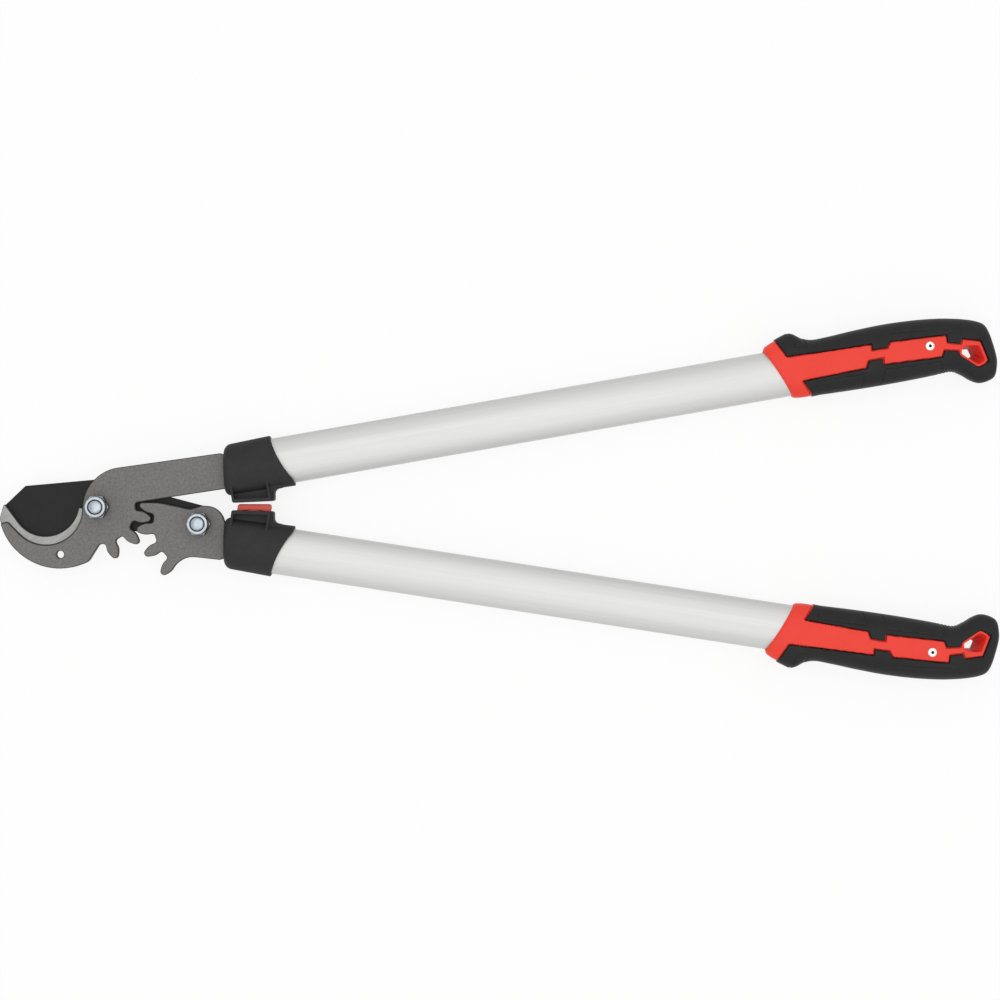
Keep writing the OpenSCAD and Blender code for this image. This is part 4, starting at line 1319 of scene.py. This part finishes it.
@dataclass(frozen=True)
class Head:
    """Steel head: hook plate, blade, gear arm and the two pivots."""

    plate_edge: float = 0.6
    blade_edge: float = 0.3
    hardware_edge: float = 0.15
    # Depth of the jaw's milled step with the share by which it may differ, and rise of the ground bevel
    milled_depth: float = 1.6
    milled_slack: float = 0.2
    ground_tilt: tuple[float, float] = (-0.97, -0.5)

    def build(self) -> None:
        """Finishes the plates, then the pivots' hardware."""
        low, high = (corner.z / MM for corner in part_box("hook_arm"))
        milled = tuple(high - self.milled_depth * (1 + slack)
                       for slack in (self.milled_slack, -self.milled_slack))
        # Plates: painted shade on their upright walls and broken edges, and the hook's milled jaw edge bare
        Machined("hook_arm", COATED_STEEL, Body.HOOK, self.plate_edge, COATED_SHADE, True, MILLED_STEEL,
                 FACING_UP, milled).build()
        Machined("gear_arm", COATED_STEEL, Body.GEAR, self.plate_edge, COATED_SHADE, True).build()
        Machined("cutting_blade", BLADE_COAT, Body.BLADE, self.blade_edge, bare=GROUND_STEEL,
                 bare_tilt=self.ground_tilt, bare_height=(0, low)).build()
        for pivot, body in (("main", Body.HOOK), ("gear", Body.GEAR)):
            # Hardware: a painted dark reflection of the plates on its upright flats
            for piece in ("bolt", "washer", "nut"):
                Machined(f"{pivot}_{piece}", ZINC_PLATE, body, self.hardware_edge, ZINC_PAINTED_REFLECTION).build()
            Machined(f"{pivot}_nut_ring", NYLON, body, self.hardware_edge).build()


def dress_node(node: str, finish: Finish) -> None:
    """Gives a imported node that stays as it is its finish.

    Args:
        node: Name of the node.
        finish: Its finish.
    """
    solid = frame["nodes"][node]
    if not solid.material_slots:
        solid.data.materials.append(finish.material())
    for slot in solid.material_slots:
        slot.material = finish.material()
    LOG.info("%s: packed solid in %s", node, finish.name)


@dataclass(frozen=True)
class Handle:
    """One handle from its ferrule to its grip."""

    frame: HandleFrame
    # Depth of the snapped mandrel under the rivet's crown
    mandrel_drop: float = 0.7
    rivet_edge: float = 0.1

    def ferrule(self) -> Ferrule:
        """The handle's ferrule."""
        return Ferrule(self.frame)

    def build(self) -> None:
        """Builds tube, ferrule and grip, and dresses the pieces inside."""
        name = self.frame.side.value
        Tube(self.frame).build()
        self.ferrule().build()
        Grip(self.frame).build()
        _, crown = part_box(f"{name}_grip_rivet")
        floor = crown.z / MM - self.mandrel_drop
        mandrel_shade_heights = (floor - self.rivet_edge, floor + self.rivet_edge)
        # The mandrel's face down in the rivet's head gets a near-black finish: painted shade of the hole
        Machined(f"{name}_grip_rivet", RIVET_ALUMINIUM, self.frame.body, self.rivet_edge,
                 bare=MANDREL_SHADE, bare_tilt=FACING_UP, bare_height=mandrel_shade_heights).build()
        dress_node(f"{name}_tang_insert", FILLER)
        dress_node(f"{name}_tang_pins", PLAIN_STEEL)


@dataclass(frozen=True)
class Stage:
    """Pale floor, soft light from above and the camera of the photograph."""

    # Place under the camera, and width of the view at the lopper's middle plane
    aim: tuple[float, float] = (301.2, 5.3)
    view_width: float = 750.0
    view_distance: float = 1450.0
    sensor: float = 36.0
    # Floor, and the share of plain white in what is seen of it
    floor_half: float = 12000.0
    floor_tone: str = "#f4f4f3"
    glow: float = 0.85
    # Lamp, and the sky's light beside it
    lamp_height: float = 2600.0
    lamp_size: float = 2600.0
    lamp_watts: float = 18.0
    sky: float = 0.84

    def seen(self, tree: bpy.types.NodeTree) -> bpy.types.NodeSocket:
        """Tells the rays that show a surface from those that light it.

        Args:
            tree: Node tree that asks.

        Returns:
            A value that is 1 for camera, glossy and transmission rays and 0 for the others.
        """
        ray = add_node(tree, "ShaderNodeLightPath").outputs
        both = add_node(tree, "ShaderNodeMath", {"operation": "ADD"},
                        {0: ray["Is Camera Ray"], 1: ray["Is Glossy Ray"]})
        return add_node(tree, "ShaderNodeMath", {"operation": "ADD", "use_clamp": True},
                        {0: both.outputs[0], 1: ray["Is Transmission Ray"]}).outputs[0]

    def floor(self) -> None:
        """Lays a pale floor that glows a little to the eye, so that it reads white and keeps the shadow."""
        half = self.floor_half * MM
        mesh = bpy.data.meshes.new("floor")
        mesh.from_pydata([(-half, -half, 0), (half, -half, 0), (half, half, 0), (-half, half, 0)], [],
                         [(0, 1, 2, 3)])
        floor = linked("floor", mesh)
        material = bpy.data.materials.new("pale_floor")
        tree = bare_tree(material)
        share = add_node(tree, "ShaderNodeMath", {"operation": "MULTIPLY", 1: self.glow},
                         {0: self.seen(tree)})
        matt = add_node(tree, "ShaderNodeBsdfDiffuse", {"Color": linear(self.floor_tone)})
        white = add_node(tree, "ShaderNodeEmission", {"Strength": 1.0})
        mix = add_node(tree, "ShaderNodeMixShader", {}, {0: share.outputs[0], 1: matt.outputs[0],
                                                         2: white.outputs[0]})
        add_node(tree, "ShaderNodeOutputMaterial", links={"Surface": mix.outputs[0]})
        mesh.materials.append(material)

    def light(self) -> None:
        """Hangs one broad lamp overhead in an even sky that the eye and the metal see as white."""
        lamp = bpy.data.lights.new("overhead", "AREA")
        lamp.shape = "SQUARE"
        lamp.size = self.lamp_size * MM
        lamp.energy = self.lamp_watts
        hung = linked("overhead", lamp)
        hung.location = (self.aim[0] * MM, self.aim[1] * MM, self.lamp_height * MM)
        world = bpy.data.worlds.new("soft_sky")
        bpy.context.scene.world = world
        tree = bare_tree(world)
        level = add_node(tree, "ShaderNodeMapRange", {"To Min": self.sky, "To Max": 1.0},
                         {"Value": self.seen(tree)})
        sky = add_node(tree, "ShaderNodeBackground", {"Color": (1, 1, 1, 1)},
                       {"Strength": level.outputs["Result"]})
        add_node(tree, "ShaderNodeOutputWorld", links={"Surface": sky.outputs[0]})

    def camera(self, mid_z: float) -> None:
        """Looks straight down on the lopper from where the photograph was taken.

        Args:
            mid_z: Height of the lopper's middle plane, at which the view is as wide as stated.
        """
        lens = bpy.data.cameras.new("camera")
        lens.sensor_width = self.sensor
        lens.lens = self.sensor * self.view_distance / self.view_width
        camera = linked("camera", lens)
        camera.location = (self.aim[0] * MM, self.aim[1] * MM, (mid_z + self.view_distance) * MM)
        bpy.context.scene.camera = camera

    def build(self, mid_z: float) -> None:
        """Sets the view transform, floor, light and camera.

        Args:
            mid_z: Height of the lopper's middle plane.
        """
        bpy.context.scene.view_settings.view_transform = "Standard"
        self.floor()
        self.light()
        self.camera(mid_z)


def main() -> None:
    """Builds the lopper's assemblies in order, then the stage."""
    logging.basicConfig(level=logging.INFO, format="%(name)s %(message)s")
    low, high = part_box("hook_arm")
    mid_z = (low.z + high.z) / 2 / MM
    pivot = next(joint["pos_m"] for joint in frame["joints"] if joint["name"] == GEAR_JOINT)
    lower_root = (place / MM + shift for place, shift in zip(pivot, LOWER_ROOT))
    upper = Handle(HandleFrame(Side.UPPER, *UPPER_ROOT, UPPER_SPLAY, mid_z))
    lower = Handle(HandleFrame(Side.LOWER, *lower_root, LOWER_SPLAY, mid_z))
    Head().build()
    upper.build()
    lower.build()
    Bumper(lower.ferrule(), upper.ferrule()).build()
    Stage().build(mid_z)


if __name__ == "__main__":
    main()
